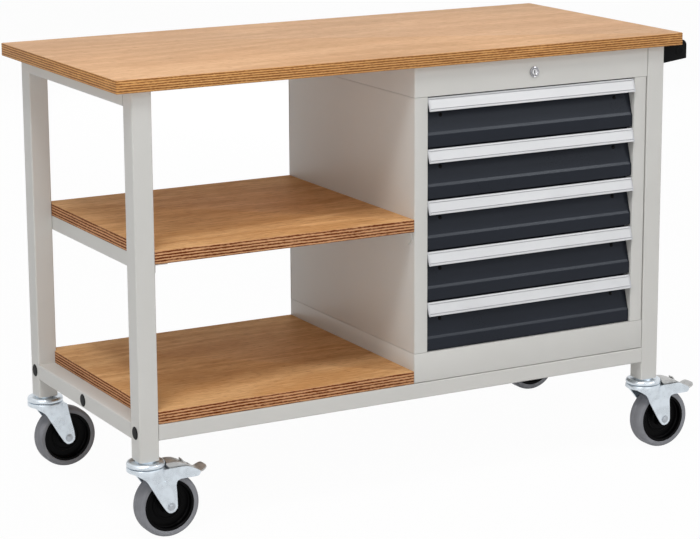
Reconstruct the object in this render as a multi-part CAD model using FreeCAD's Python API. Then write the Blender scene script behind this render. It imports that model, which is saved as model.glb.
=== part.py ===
import FreeCAD, Part
import math
import os
from FreeCAD import Vector

# Mobile workbench with a drawer cabinet. Millimetres, +Z up, front towards -Y, left towards -X.
# Every piece is placed about the middle of the worktop, and saved about the middle of the whole bench.

# Worktop
bench_height = 880.0
worktop_length = 1250.0
worktop_depth = 570.0
worktop_thickness = 25.0
worktop_corner_radius = 4.0

# Square tube frame
leg_size = 40.0
tube_wall = 2.0
tube_radius = 3.0
overhang_side = 35.0
overhang_front = 15.0
rail_height = 32.0
leg_drop = 38.0
foot_plate = 6.0
rail_end_plate = 6.0

# Shelves and the angles under the mid shelf
shelf_thickness = 25.0
lower_bay_height = 281.0
angle_flange = 28.0
angle_thickness = 3.0
angle_setback = 6.0
shelf_tongue = 4.0
angle_chamfer = 12.0

# Cabinet of folded sheet, as deep as the shelves
cabinet_width = 546.0
cabinet_leg_gap = 2.0
shelf_rear_gap = 15.0
sheet = 1.5
stile_width = 30.0
stile_return = 20.0
plinth_height = 60.0
top_frame_height = 60.0
frame_flange = 20.0
post_width = 30.0
post_gap = 5.0
rear_post_inset = 60.0

# Drawer fronts, with recesses behind the cabinet's face
drawer_count = 5
drawer_gap = 2.0
drawer_side_gap = 1.0
front_recess = 20.0
bead_recess = 9.0
flat_recess = 5.0
slant_start = 30.0
bead_height = 7.0
flat_height = 23.0
rivet_offset = 10.0
rivet_inset = 37.0
rivet_radius = 4.0
rivet_height = 1.5

# Aluminium grips
grip_height = 28.0
grip_thickness = 2.0
grip_top_recess = 4.0
grip_lip_proud = 6.0
grip_back_leg = 14.0

# Drawer trays
tray_wall = 1.2
tray_rear_space = 55.5
tray_top_drop = 14.0
tray_floor_lift = 10.0

# Telescopic runners
runner_space = 14.0
runner_setback = 3.0
runner_rear_gap = 5.0
runner_height = 46.0
runner_sheet = 1.2
runner_play = 0.5
runner_side_play = 0.8
fixed_lip_gap = 4.0
middle_lip_gap = 3.0

# Lock and locking bar
lock_radius = 10.5
lock_proud = 3.0
lock_body_radius = 8.0
lock_body_length = 32.0
lock_nut_radius = 13.0
lock_nut_thickness = 5.0
core_radius = 5.5
core_recess = 0.8
key_slot_width = 1.8
key_slot_height = 7.0
key_slot_depth = 14.0
rod_radius = 4.0
crank_throw = 12.0
crank_start_angle = 45.0
crank_thickness = 4.0
crank_width = 12.0
crank_pin_radius = 3.0
crank_pin_end = 2.0
hanger_width = 30.0
hanger_thickness = 3.0
locking_bar_edge = 4.4
locking_bar_thickness = 3.0
guide_height = 12.0
guide_wall = 8.0
guide_lift = 10.0
catch_reach = 15.0
catch_width = 28.0
catch_gap = 3.0
hook_width = 20.0
hook_clearance = 2.5
hook_gap = 5.5
hook_thickness = 2.0
bar_gap = 4.0

# Push handle
handle_reach = 27.0
bracket_width = 24.0
bracket_rise = 7.0
bracket_taper = 7.0
bracket_round = 12.0
bracket_nose = 5.5
bracket_floor = 11.5
push_bar_radius = 12.5
push_bar_wall = 2.0
push_bar_top_gap = 2.5
push_bar_socket = 12.0

# Casters, from the floor up
wheel_diameter = 125.0
wheel_width = 38.0
tread_flat = 16.0
shoulder_height = 6.5
tyre_height = 12.0
rim_thickness = 5.0
rim_inset = 1.5
web_thickness = 10.0
hub_radius = 15.0
hub_side_gap = 1.0
axle_radius = 5.0
axle_head_radius = 8.0
axle_head_height = 3.0
caster_trail = 40.0
fork_wheel_gap = 3.0
fork_plate = 3.0
boss_radius = 13.0
knee_back = 19.0
knee_drop = 7.0
knee_round = 16.0
crown_radius = 36.5
crown_height = 9.6
crown_plate = 4.0
crown_round = 2.0
crown_tail = 36.0
wheel_top_gap = 3.6
pin_head_radius = 11.0
pin_head_height = 4.0
swivel_gap = 0.4
race_radius = 36.5
race_height = 10.0
race_round = 3.0
washer_radius = 19.5
washer_height = 2.0
stem_radius = 6.0
stem_nut_radius = 10.0
stem_nut_height = 10.0
stem_end = 4.0

# Brake arms and pedal of the front casters, along the trailing direction
arm_root_gap = 11.0
arm_length = 26.0
arm_drop = 19.0
arm_nose = 10.0
arm_round = 9.0
arm_tip_round = 4.0
arm_shoulder_drop = 5.0
pedal_head_gap = 6.0
pedal_hump_offset = 4.0
pedal_rise = 4.0
pedal_tab_drop = 3.0
pedal_valley_offset = 3.0
pedal_valley_drop = 21.0
pedal_tip_length = 15.0
pedal_tip_drop = 14.5
pedal_plate = 3.0
pedal_side_gap = 3.0
pedal_corner = 9.0
pivot_offset = 7.0
pivot_radius = 3.0
pivot_lug_radius = 5.5
shoe_offset = 18.0
shoe_length = 10.0
shoe_gap = 6.5
shoe_side_gap = 7.0
tab_offset = 16.0
tab_thickness = 3.0
tab_width = 14.0
tab_height = 10.0

# Fasteners
bolt_radius = 5.0
bolt_head_radius = 8.0
bolt_head_height = 8.0
bolt_length = 36.0
plug_radius = 12.5
plug_head = 1.2
plug_body_radius = 10.0
plug_body_length = 6.0
screw_radius = 2.5
screw_head_radius = 5.0
screw_head_height = 3.0
screw_bite = 16.0
rail_screw_y = 120.0
shelf_screw_y = 180.0
cabinet_screw_inset = 60.0

# Clearances
fit_gap = 0.05
slide_gap = 0.3
slot_gap = 0.6

# Places that follow from the sizes
pin_top = wheel_diameter + wheel_top_gap + pin_head_height
crown_low = pin_top + swivel_gap
crown_top = crown_low + crown_height
race_low = crown_top + swivel_gap
caster_height = race_low + race_height + washer_height
wheel_radius = wheel_diameter / 2
rim_radius = wheel_radius - tyre_height
rim_width = wheel_width - 2 * rim_inset
fork_inner = wheel_width / 2 + fork_wheel_gap
fork_outer = fork_inner + fork_plate
arm_root = caster_trail + arm_root_gap
pivot_x = arm_root + pivot_offset
shoe_start = pivot_x + shoe_offset
shoe_end = shoe_start + shoe_length
arm_end = shoe_start + arm_length
pedal_start = race_radius + pedal_head_gap
pedal_hump = pivot_x + pedal_hump_offset
pedal_valley = arm_end + pedal_valley_offset
pedal_reach = pedal_valley + pedal_tip_length
tab_x = pivot_x + tab_offset

under_top = bench_height - worktop_thickness
half_leg = leg_size / 2
leg_x = worktop_length / 2 - overhang_side - half_leg
leg_y = worktop_depth / 2 - overhang_front - half_leg
inner_x = leg_x - half_leg
outer_x = leg_x + half_leg
inner_y = leg_y - half_leg
front_y = -leg_y - half_leg
rail_low = caster_height + leg_drop
rail_top = rail_low + rail_height
rail_mid = rail_low + rail_height / 2
top_rail_low = under_top - rail_height

shelf_back_y = leg_y + half_leg - shelf_rear_gap
bottom_shelf_top = rail_top + shelf_thickness
mid_shelf_low = bottom_shelf_top + lower_bay_height
angle_low = mid_shelf_low - angle_flange

cabinet_right = inner_x - cabinet_leg_gap
cabinet_left = cabinet_right - cabinet_width
cabinet_mid = (cabinet_left + cabinet_right) / 2
carcass_low = rail_top + plinth_height
carcass_top = under_top - top_frame_height
opening_left = cabinet_left + stile_width
opening_right = cabinet_right - stile_width
drawer_pitch = (carcass_top - carcass_low) / drawer_count
drawer_height = drawer_pitch - drawer_gap

tray_front = front_y + front_recess + sheet
tray_back = shelf_back_y - tray_rear_space
tray_left = opening_left + runner_space
tray_right = opening_right - runner_space
tray_low_drop = drawer_height - tray_floor_lift
runner_front = tray_front + runner_setback
runner_back = tray_back - runner_rear_gap

bar_front = tray_back + catch_reach + bar_gap
bar_back = bar_front + locking_bar_thickness
lock_z = carcass_top + top_frame_height / 2
crank_rise = crank_throw * math.sin(math.radians(crank_start_angle))
crank_side = crank_throw * math.cos(math.radians(crank_start_angle))
hook_overlap = 2 * crank_rise - catch_gap
catch_lip = hook_overlap + sheet + hook_clearance
hook_lip = hook_overlap + hook_thickness + hook_clearance
locking_bar_half = crank_throw + crank_pin_radius + slot_gap + locking_bar_edge
hanger_front = tray_back

handle_end = worktop_length / 2 + handle_reach
push_bar_x = handle_end - bracket_nose - push_bar_radius
push_bar_z = under_top - push_bar_top_gap - push_bar_radius
bracket_low = push_bar_z - push_bar_radius - bracket_floor
bracket_top = under_top + bracket_rise
bracket_step = worktop_length / 2 + slide_gap
bench_left = -worktop_length / 2
bench_right = max(worktop_length / 2, leg_x + pedal_reach, handle_end)
bench_mid = (bench_left + bench_right) / 2

along_x = Vector(1, 0, 0)
along_y = Vector(0, 1, 0)
along_z = Vector(0, 0, 1)


def box(x0, x1, y0, y1, z0, z1):
    return Part.makeBox(x1 - x0, y1 - y0, z1 - z0, Vector(x0, y0, z0))


def rod(start, axis, radius, length):
    return Part.makeCylinder(radius, length, start, axis)


def prism(points, sweep):
    wire = Part.makePolygon(points + [points[0]])
    return Part.Face(wire).extrude(sweep)


def prism_x(yz, x0, x1):
    return prism([Vector(x0, y, z) for y, z in yz], Vector(x1 - x0, 0, 0))


def prism_y(xz, y0, y1):
    return prism([Vector(x, y0, z) for x, z in xz], Vector(0, y1 - y0, 0))


def prism_z(xy, z0, z1):
    return prism([Vector(x, y, z0) for x, y in xy], Vector(0, 0, z1 - z0))


def corner_arc(before, corner, after, radius):
    to_before = (before - corner).normalize()
    to_after = (after - corner).normalize()
    half_angle = to_before.getAngle(to_after) / 2
    reach = radius / math.tan(half_angle)
    inward = (to_before + to_after).normalize()
    middle = corner + inward * (radius / math.sin(half_angle) - radius)
    return (corner + to_before * reach, middle, corner + to_after * reach)


def rounded_face(corners):
    # Each corner is a point and the radius that rounds it, or 0 where it stays sharp
    arcs = []
    for index, (corner, radius) in enumerate(corners):
        before = corners[index - 1][0]
        after = corners[(index + 1) % len(corners)][0]
        arcs.append(corner_arc(before, corner, after, radius) if radius else (corner, None, corner))
    edges = []
    for index, (start, middle, end) in enumerate(arcs):
        if middle is not None:
            edges.append(Part.Arc(start, middle, end).toShape())
        edges.append(Part.LineSegment(end, arcs[(index + 1) % len(arcs)][0]).toShape())
    return Part.Face(Part.Wire(edges))


def hexagon(centre, radius, height):
    corners = []
    for step in range(6):
        turn = step * math.pi / 3
        corners.append((centre.x + radius * math.cos(turn), centre.y + radius * math.sin(turn)))
    return prism_z(corners, centre.z, centre.z + height)


def round_edges(shape, axis, radius):
    edges = []
    for edge in shape.Edges:
        is_line = isinstance(edge.Curve, Part.Line)
        if is_line and abs(edge.tangentAt(edge.FirstParameter).dot(axis)) > 0.999:
            edges.append(edge)
    return shape.makeFillet(radius, edges)


def round_rims(shape, radius, height):
    edges = []
    for edge in shape.Edges:
        if isinstance(edge.Curve, Part.Circle) and abs(edge.CenterOfMass.z - height) < slide_gap:
            edges.append(edge)
    return shape.makeFillet(radius, edges)


def mirror_x(shape, x):
    return shape.mirror(Vector(x, 0, 0), along_x)


def tangent_point(corner, centre, radius):
    # Where a line from the corner touches the lower left of a circle
    dx = centre[0] - corner[0]
    dz = centre[1] - corner[1]
    reach = math.hypot(dx, dz)
    turn = math.atan2(dz, dx) - math.asin(radius / reach)
    length = math.sqrt(reach ** 2 - radius ** 2)
    return (corner[0] + length * math.cos(turn), corner[1] + length * math.sin(turn))


def save(name, shapes):
    shape = Part.makeCompound(shapes)
    shape.translate(Vector(-bench_mid, 0, 0))
    shape.exportStep("parts/" + name + ".step")


# Fasteners: each screw is a head and a shank, and its hole is cut in the pieces that it holds
def screw(start, axis, bite):
    head = rod(start - axis * screw_head_height, axis, screw_head_radius, screw_head_height)
    return head.fuse(rod(start, axis, screw_radius, bite)).removeSplitter()


def screw_hole(start, axis, bite):
    return rod(start, axis, screw_radius + fit_gap, bite + slide_gap)


def rail_screw_places():
    places = []
    for side in (-1, 1):
        for y in (-rail_screw_y, rail_screw_y):
            places.append(Vector(side * leg_x, y, top_rail_low))
    return places


def cabinet_screw_places():
    places = []
    for x in (cabinet_left + cabinet_screw_inset, cabinet_right - cabinet_screw_inset):
        for y in (front_y + cabinet_screw_inset, shelf_back_y - cabinet_screw_inset):
            places.append(Vector(x, y, under_top - sheet))
    return places


def shelf_screw_places():
    places = []
    for x in (-inner_x + angle_flange / 2, cabinet_left - angle_flange / 2):
        for y in (-shelf_screw_y, shelf_screw_y):
            places.append(Vector(x, y, mid_shelf_low - angle_thickness))
    return places


rail_screw_bite = rail_height + screw_bite
cabinet_screw_bite = sheet + screw_bite
shelf_screw_bite = angle_thickness + screw_bite


def wood_screws():
    screws = [screw(place, along_z, rail_screw_bite) for place in rail_screw_places()]
    screws += [screw(place, along_z, cabinet_screw_bite) for place in cabinet_screw_places()]
    screws += [screw(place, along_z, shelf_screw_bite) for place in shelf_screw_places()]
    return screws


def bolt_rows():
    return (-leg_y, 0.0, leg_y)


def frame_bolts():
    bolts = []
    for side in (-1, 1):
        inward = along_x * -side
        for y in bolt_rows():
            seat = Vector(side * (inner_x + tube_wall), y, rail_mid)
            head = rod(seat - inward * bolt_head_height, inward, bolt_head_radius, bolt_head_height)
            shank = rod(seat, inward, bolt_radius, bolt_length)
            bolts.append(head.fuse(shank).removeSplitter())
    for y in (-leg_y, leg_y):
        seat = Vector(-inner_x + angle_thickness, y, angle_low + angle_flange / 2)
        bolts.append(screw(seat, -along_x, angle_thickness + tube_wall))
    for y in (-shelf_screw_y, shelf_screw_y):
        seat = Vector(cabinet_left - angle_thickness, y, angle_low + angle_flange / 2)
        bolts.append(screw(seat, along_x, angle_thickness + sheet))
    return bolts


def hole_plugs():
    plugs = []
    for side in (-1, 1):
        inward = along_x * -side
        for y in bolt_rows():
            seat = Vector(side * outer_x, y, rail_mid)
            head = rod(seat - inward * plug_head, inward, plug_radius, plug_head)
            body = rod(seat, inward, plug_body_radius, plug_body_length)
            plugs.append(head.fuse(body).removeSplitter())
    return plugs


def end_bolt_holes(side, y):
    inward = along_x * -side
    plug_hole = rod(Vector(side * outer_x, y, rail_mid), inward, plug_body_radius + fit_gap, tube_wall)
    bolt_hole = rod(Vector(side * inner_x, y, rail_mid), -inward, bolt_radius + fit_gap, tube_wall)
    return plug_hole.fuse(bolt_hole)


# Frame
def leg(side, end):
    x = side * leg_x
    y = end * leg_y
    post = box(x - half_leg, x + half_leg, y - half_leg, y + half_leg, caster_height, under_top)
    post = round_edges(post, along_z, tube_radius)
    core = half_leg - tube_wall
    post = post.cut(box(x - core, x + core, y - core, y + core, caster_height + foot_plate, under_top))
    post = post.cut(rod(Vector(x, y, caster_height), along_z, stem_radius + fit_gap, foot_plate))
    if side < 0:
        angle_bolt = Vector(-inner_x, y, angle_low + angle_flange / 2)
        post = post.cut(rod(angle_bolt, -along_x, screw_radius + fit_gap, tube_wall))
    return post.cut(end_bolt_holes(side, y))


def end_rail(side, low):
    x = side * leg_x
    core = half_leg - tube_wall
    bar = box(x - half_leg, x + half_leg, -inner_y, inner_y, low, low + rail_height)
    bar = round_edges(bar, along_y, tube_radius)
    hollow = box(x - core, x + core, -inner_y, inner_y, low + tube_wall, low + rail_height - tube_wall)
    return bar.cut(hollow)


def end_rails():
    rails = []
    for side in (-1, 1):
        rails.append(end_rail(side, rail_low).cut(end_bolt_holes(side, 0.0)))
        top = end_rail(side, top_rail_low)
        for place in rail_screw_places():
            top = top.cut(screw_hole(place, along_z, rail_screw_bite))
        rails.append(top)
    return rails


def long_rail(y):
    core = half_leg - tube_wall
    end = inner_x - rail_end_plate
    bar = box(-inner_x, inner_x, y - half_leg, y + half_leg, rail_low, rail_top)
    bar = round_edges(bar, along_x, tube_radius)
    bar = bar.cut(box(-end, end, y - core, y + core, rail_low + tube_wall, rail_top - tube_wall))
    for side in (-1, 1):
        start = Vector(side * inner_x, y, rail_mid)
        bar = bar.cut(rod(start, along_x * -side, bolt_radius + fit_gap, rail_end_plate))
    return bar


# Boards
def worktop():
    half_length = worktop_length / 2
    half_depth = worktop_depth / 2
    board = box(-half_length, half_length, -half_depth, half_depth, under_top, bench_height)
    board = round_edges(board, along_z, worktop_corner_radius)
    for place in rail_screw_places():
        board = board.cut(screw_hole(place, along_z, rail_screw_bite))
    for place in cabinet_screw_places():
        board = board.cut(screw_hole(place, along_z, cabinet_screw_bite))
    return board


def shelf(low):
    return box(-inner_x, cabinet_left, front_y, shelf_back_y, low, low + shelf_thickness)


def bottom_shelf():
    # A tongue between the legs covers the round edge of the end rail
    side = inner_y - slide_gap
    tongue = box(-inner_x - shelf_tongue, -inner_x, -side, side, rail_top, bottom_shelf_top)
    return shelf(rail_top).fuse(tongue).removeSplitter()


def mid_shelf():
    board = shelf(mid_shelf_low)
    for place in shelf_screw_places():
        board = board.cut(screw_hole(place, along_z, shelf_screw_bite))
    return board


def shelf_angle(wall_x, inward):
    # Wall flange down the leg or the cabinet side, shelf flange under the board
    wall_face = wall_x + inward * angle_thickness
    tip = wall_x + inward * angle_flange
    flange_low = mid_shelf_low - angle_thickness
    outline = [
        (wall_x, mid_shelf_low),
        (tip, mid_shelf_low),
        (tip, flange_low),
        (wall_face, flange_low),
        (wall_face, angle_low),
        (wall_x, angle_low),
    ]
    start = front_y + angle_setback
    end = shelf_back_y - angle_setback
    bar = prism_y(outline, start, end)
    reach = sorted((wall_x, tip))
    for y, step in ((start, angle_chamfer), (end, -angle_chamfer)):
        corner = [(y, angle_low), (y + step, angle_low), (y, angle_low + angle_chamfer)]
        bar = bar.cut(prism_x(corner, reach[0], reach[1]))
    for place in shelf_screw_places():
        bar = bar.cut(screw_hole(place, along_z, shelf_screw_bite))
    rows = (-leg_y, leg_y) if inward > 0 else (-shelf_screw_y, shelf_screw_y)
    for y in rows:
        start_point = Vector(wall_x, y, angle_low + angle_flange / 2)
        bar = bar.cut(rod(start_point, along_x * inward, screw_radius + fit_gap, angle_thickness))
    return bar


# Cabinet
def box_frame(low, high):
    # A box of sheet with a closed top and an inward flange round its open underside
    body = box(cabinet_left, cabinet_right, front_y, shelf_back_y, low, high)
    x0 = cabinet_left + sheet
    x1 = cabinet_right - sheet
    y0 = front_y + sheet
    y1 = shelf_back_y - sheet
    body = body.cut(box(x0, x1, y0, y1, low + sheet, high - sheet))
    mouth = box(x0 + frame_flange, x1 - frame_flange, y0 + frame_flange, y1 - frame_flange, low, low + sheet)
    return body.cut(mouth)


def cabinet_plinth():
    return box_frame(rail_top, carcass_low)


def cabinet_top_frame():
    body = box_frame(carcass_top, under_top)
    body = body.cut(rod(Vector(cabinet_mid, front_y, lock_z), along_y, lock_body_radius + fit_gap, sheet))
    for place in cabinet_screw_places():
        body = body.cut(screw_hole(place, along_z, cabinet_screw_bite))
    return body


def cabinet_side():
    # Left side in plan: panel, stile, stile return and the flange that carries the back
    back = shelf_back_y - sheet
    outline = [
        (cabinet_left, front_y),
        (opening_left, front_y),
        (opening_left, front_y + stile_return),
        (opening_left - sheet, front_y + stile_return),
        (opening_left - sheet, front_y + sheet),
        (cabinet_left + sheet, front_y + sheet),
        (cabinet_left + sheet, back - sheet),
        (cabinet_left + frame_flange, back - sheet),
        (cabinet_left + frame_flange, back),
        (cabinet_left, back),
    ]
    return prism_z(outline, carcass_low, carcass_top)


def cabinet_left_side():
    panel = cabinet_side()
    for y in (-shelf_screw_y, shelf_screw_y):
        start = Vector(cabinet_left, y, angle_low + angle_flange / 2)
        panel = panel.cut(rod(start, along_x, screw_radius + fit_gap, sheet))
    return panel


def cabinet_back():
    return box(cabinet_left, cabinet_right, shelf_back_y - sheet, shelf_back_y, carcass_low, carcass_top)


def post(y0):
    # Channel that carries the runners on a cabinet side
    panel = cabinet_left + sheet
    y1 = y0 + post_width
    body = box(panel, opening_left, y0, y1, carcass_low, carcass_top)
    return body.cut(box(panel, opening_left - sheet, y0 + sheet, y1 - sheet, carcass_low, carcass_top))


def bar_guide(low):
    back = shelf_back_y - sheet
    high = low + guide_height
    wide = locking_bar_half + guide_wall
    block = box(cabinet_mid - wide, cabinet_mid + wide, bar_front - guide_wall / 2, back, low, high)
    gap = locking_bar_half + slide_gap
    slot = box(cabinet_mid - gap, cabinet_mid + gap, bar_front - slide_gap, bar_back + slide_gap, low, high)
    return block.cut(slot)


def rod_hanger():
    half = hanger_width / 2
    low = lock_z - half
    back = hanger_front + hanger_thickness
    plate = box(cabinet_mid - half, cabinet_mid + half, hanger_front, back, low, under_top - sheet)
    hole = rod(Vector(cabinet_mid, hanger_front, lock_z), along_y, rod_radius + fit_gap, hanger_thickness)
    return plate.cut(hole)


def cabinet_inner_frame():
    front_post = post(front_y + stile_return + post_gap)
    rear_post = post(runner_back - rear_post_inset)
    solids = []
    for left in (front_post, rear_post):
        solids.append(left)
        solids.append(mirror_x(left, cabinet_mid))
    for number in (1, drawer_count):
        solids.append(bar_guide(drawer_top(number) - drawer_height + guide_lift))
    solids.append(rod_hanger())
    return solids


# Drawers, counted from the top
def drawer_top(number):
    return carcass_top - (number - 1) * drawer_pitch - drawer_gap / 2


def channel(web_x, lip_x, height, middle, thickness):
    # Runner member: a web and two lips, open towards lip_x
    step = math.copysign(thickness, lip_x - web_x)
    top = middle + height / 2
    low = middle - height / 2
    outline = [
        (web_x, low),
        (lip_x, low),
        (lip_x, low + thickness),
        (web_x + step, low + thickness),
        (web_x + step, top - thickness),
        (lip_x, top - thickness),
        (lip_x, top),
        (web_x, top),
    ]
    return prism_y(outline, runner_front, runner_back)


def runner_middle(number):
    top = drawer_top(number)
    return top - (tray_top_drop + tray_low_drop) / 2


def both_sides(left):
    return [left, mirror_x(left, cabinet_mid)]


middle_height = runner_height - 2 * (runner_sheet + runner_play)
inner_height = middle_height - 2 * (runner_sheet + runner_play)
middle_web = opening_left + runner_sheet + runner_side_play
inner_edge = middle_web + runner_sheet + runner_side_play


def fixed_runners():
    runners = []
    for number in range(1, drawer_count + 1):
        middle = runner_middle(number)
        left = channel(opening_left, tray_left - fixed_lip_gap, runner_height, middle, runner_sheet)
        runners += both_sides(left)
    return runners


def drawer_slides(number):
    middle = runner_middle(number)
    return both_sides(channel(middle_web, tray_left - middle_lip_gap, middle_height, middle, runner_sheet))


def drawer_tray(number):
    top = drawer_top(number) - tray_top_drop
    low = drawer_top(number) - tray_low_drop
    # Sheet panels, welded edge to edge: floor, sides, front and back, then the two plates of the catch
    x0 = tray_left + tray_wall
    x1 = tray_right - tray_wall
    wall_low = low + tray_wall
    catch_left = cabinet_mid - catch_width / 2
    catch_right = cabinet_mid + catch_width / 2
    catch_end = tray_back + catch_reach
    lip_front = catch_end - sheet
    panels = [
        box(tray_left, tray_right, tray_front, tray_back, low, wall_low),
        box(tray_left, x0, tray_front, tray_back, wall_low, top),
        box(x1, tray_right, tray_front, tray_back, wall_low, top),
        box(x0, x1, tray_front, tray_front + tray_wall, wall_low, top),
        box(x0, x1, tray_back - tray_wall, tray_back, wall_low, top),
        box(catch_left, catch_right, tray_back, lip_front, top - sheet, top),
        box(catch_left, catch_right, lip_front, catch_end, top - catch_lip, top),
    ]
    inner = channel(tray_left, inner_edge, inner_height, runner_middle(number), runner_sheet)
    return panels + both_sides(inner)


def drawer_front(number):
    top = drawer_top(number)
    low = top - drawer_height
    x0 = opening_left + drawer_side_gap
    x1 = opening_right - drawer_side_gap
    back = front_y + front_recess + sheet
    slant = (front_y + front_recess, top - slant_start)
    bead = (front_y + bead_recess, low + flat_height + bead_height)
    flat = (front_y + flat_recess, low + flat_height)
    outline = [
        (back, top),
        (front_y + front_recess, top),
        slant,
        bead,
        flat,
        (flat[0], low),
        (back, low),
    ]
    hollow = [
        (back, slant[1]),
        (bead[0] + sheet, bead[1]),
        (flat[0] + sheet, flat[1]),
        (flat[0] + sheet, low + sheet),
        (back, low + sheet),
    ]
    front = prism_x(outline, x0, x1).cut(prism_x(hollow, x0 + sheet, x1 - sheet))
    run = Vector(0, bead[0] - slant[0], bead[1] - slant[1])
    outward = along_x.cross(run).normalize()
    along_slant = run.normalize() * rivet_offset
    rivets = []
    for x in (x0 + rivet_inset, x1 - rivet_inset):
        seat = Vector(x, slant[0], slant[1]) + along_slant
        rivets.append(rod(seat, -outward, rivet_radius, rivet_height))
    return [front] + rivets


def drawer_grip(number):
    top = drawer_top(number)
    back = front_y + front_recess
    upper = front_y + grip_top_recess
    lower = front_y - grip_lip_proud
    inside = back - grip_thickness
    outline = [
        (back, top),
        (upper, top),
        (lower, top - grip_height),
        (lower + grip_thickness, top - grip_height),
        (upper + grip_thickness, top - grip_thickness),
        (inside, top - grip_thickness),
        (inside, top - grip_back_leg),
        (back, top - grip_back_leg),
    ]
    return prism_x(outline, opening_left + drawer_side_gap, opening_right - drawer_side_gap)


# Lock: the core turns in the barrel, and its crank lifts the locking bar behind the drawers
def lock_barrel():
    face = Vector(cabinet_mid, front_y - lock_proud, lock_z)
    body = rod(face, along_y, lock_radius, lock_proud)
    body = body.fuse(rod(face, along_y, lock_body_radius, lock_proud + lock_body_length)).removeSplitter()
    body = body.cut(rod(face, along_y, core_radius + fit_gap, lock_proud + lock_body_length))
    nut_seat = Vector(cabinet_mid, front_y + sheet, lock_z)
    nut = rod(nut_seat, along_y, lock_nut_radius, lock_nut_thickness)
    nut = nut.cut(rod(nut_seat, along_y, lock_body_radius + fit_gap, lock_nut_thickness))
    return [body, nut]


def lock_core():
    start = Vector(cabinet_mid, front_y - lock_proud + core_recess, lock_z)
    plug_end = front_y + lock_body_length
    crank_front = hanger_front + hanger_thickness + slide_gap
    plug = rod(start, along_y, core_radius, plug_end - start.y)
    slot = Part.makeBox(key_slot_width, key_slot_depth, key_slot_height)
    slot.translate(start - Vector(key_slot_width / 2, 0, key_slot_height / 2))
    shaft = rod(Vector(cabinet_mid, plug_end, lock_z), along_y, rod_radius, crank_front - plug_end)
    pin_centre = Vector(cabinet_mid - crank_side, crank_front, lock_z - crank_rise)
    half = crank_width / 2
    arm = box(-crank_throw, 0, crank_front, crank_front + crank_thickness, -half, half)
    arm.rotate(Vector(0, 0, 0), along_y, -crank_start_angle)
    arm.translate(Vector(cabinet_mid, 0, lock_z))
    for centre in (pin_centre, Vector(cabinet_mid, crank_front, lock_z)):
        arm = arm.fuse(rod(centre, along_y, half, crank_thickness))
    pin = rod(pin_centre, along_y, crank_pin_radius, bar_back + crank_pin_end - crank_front)
    return plug.cut(slot).fuse([shaft, arm, pin]).removeSplitter()


def locking_bar():
    half = locking_bar_half
    slot_z = lock_z - crank_rise
    slot_half = crank_pin_radius + slot_gap
    bar_top = slot_z + crank_width
    bar_low = carcass_low + guide_lift
    bar = box(cabinet_mid - half, cabinet_mid + half, bar_front, bar_back, bar_low, bar_top)
    slot_left = cabinet_mid - crank_throw - slot_half
    slot_right = cabinet_mid - crank_side + slot_half
    bar = bar.cut(box(slot_left, slot_right, bar_front, bar_back, slot_z - slot_half, slot_z + slot_half))
    lip_front = tray_back + hook_gap
    for number in range(1, drawer_count + 1):
        hook_top = drawer_top(number) - tray_top_drop - catch_lip - catch_gap
        hook_low = hook_top - hook_lip
        outline = [
            (bar_front, hook_low),
            (lip_front, hook_low),
            (lip_front, hook_top),
            (lip_front + hook_thickness, hook_top),
            (lip_front + hook_thickness, hook_low + hook_thickness),
            (bar_front, hook_low + hook_thickness),
        ]
        bar = bar.fuse(prism_x(outline, cabinet_mid - hook_width / 2, cabinet_mid + hook_width / 2))
    return bar.removeSplitter()


# Push handle on the right end: each bracket steps up past the end of the worktop
def handle_bracket(end):
    y0 = end * leg_y - bracket_width / 2
    outline = [
        (outer_x, under_top),
        (bracket_step, under_top),
        (bracket_step, bracket_top),
        (handle_end, bracket_top),
        (handle_end, bracket_low + bracket_taper),
        (outer_x, bracket_low),
    ]
    body = prism_y(outline, y0, y0 + bracket_width)
    corner = []
    for edge in body.Edges:
        middle = edge.CenterOfMass
        if abs(middle.x - handle_end) < slide_gap and abs(middle.z - bracket_top) < slide_gap:
            corner.append(edge)
    body = body.makeFillet(bracket_round, corner)
    socket_mouth = end * (leg_y - bracket_width / 2)
    start = Vector(push_bar_x, socket_mouth, push_bar_z)
    return body.cut(rod(start, along_y * end, push_bar_radius + fit_gap, push_bar_socket + slide_gap))


def push_bar():
    half = leg_y - bracket_width / 2 + push_bar_socket
    start = Vector(push_bar_x, -half, push_bar_z)
    bar = rod(start, along_y, push_bar_radius, 2 * half)
    return bar.cut(rod(start, along_y, push_bar_radius - push_bar_wall, 2 * half))


# Casters, built with the swivel axis on Z and the wheel trailing towards +X
def at_corner(shape, side, end):
    placed = shape.copy()
    placed.translate(Vector(side * leg_x, end * leg_y, 0))
    return placed


def turned(profile):
    # Profile of radius and width, turned about the wheel's axle
    middle = Vector(caster_trail, 0, wheel_radius)
    points = [middle + Vector(radius, y, 0) for radius, y in profile]
    wire = Part.makePolygon(points + [points[0]])
    return Part.Face(wire).revolve(middle, along_y, 360)


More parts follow.
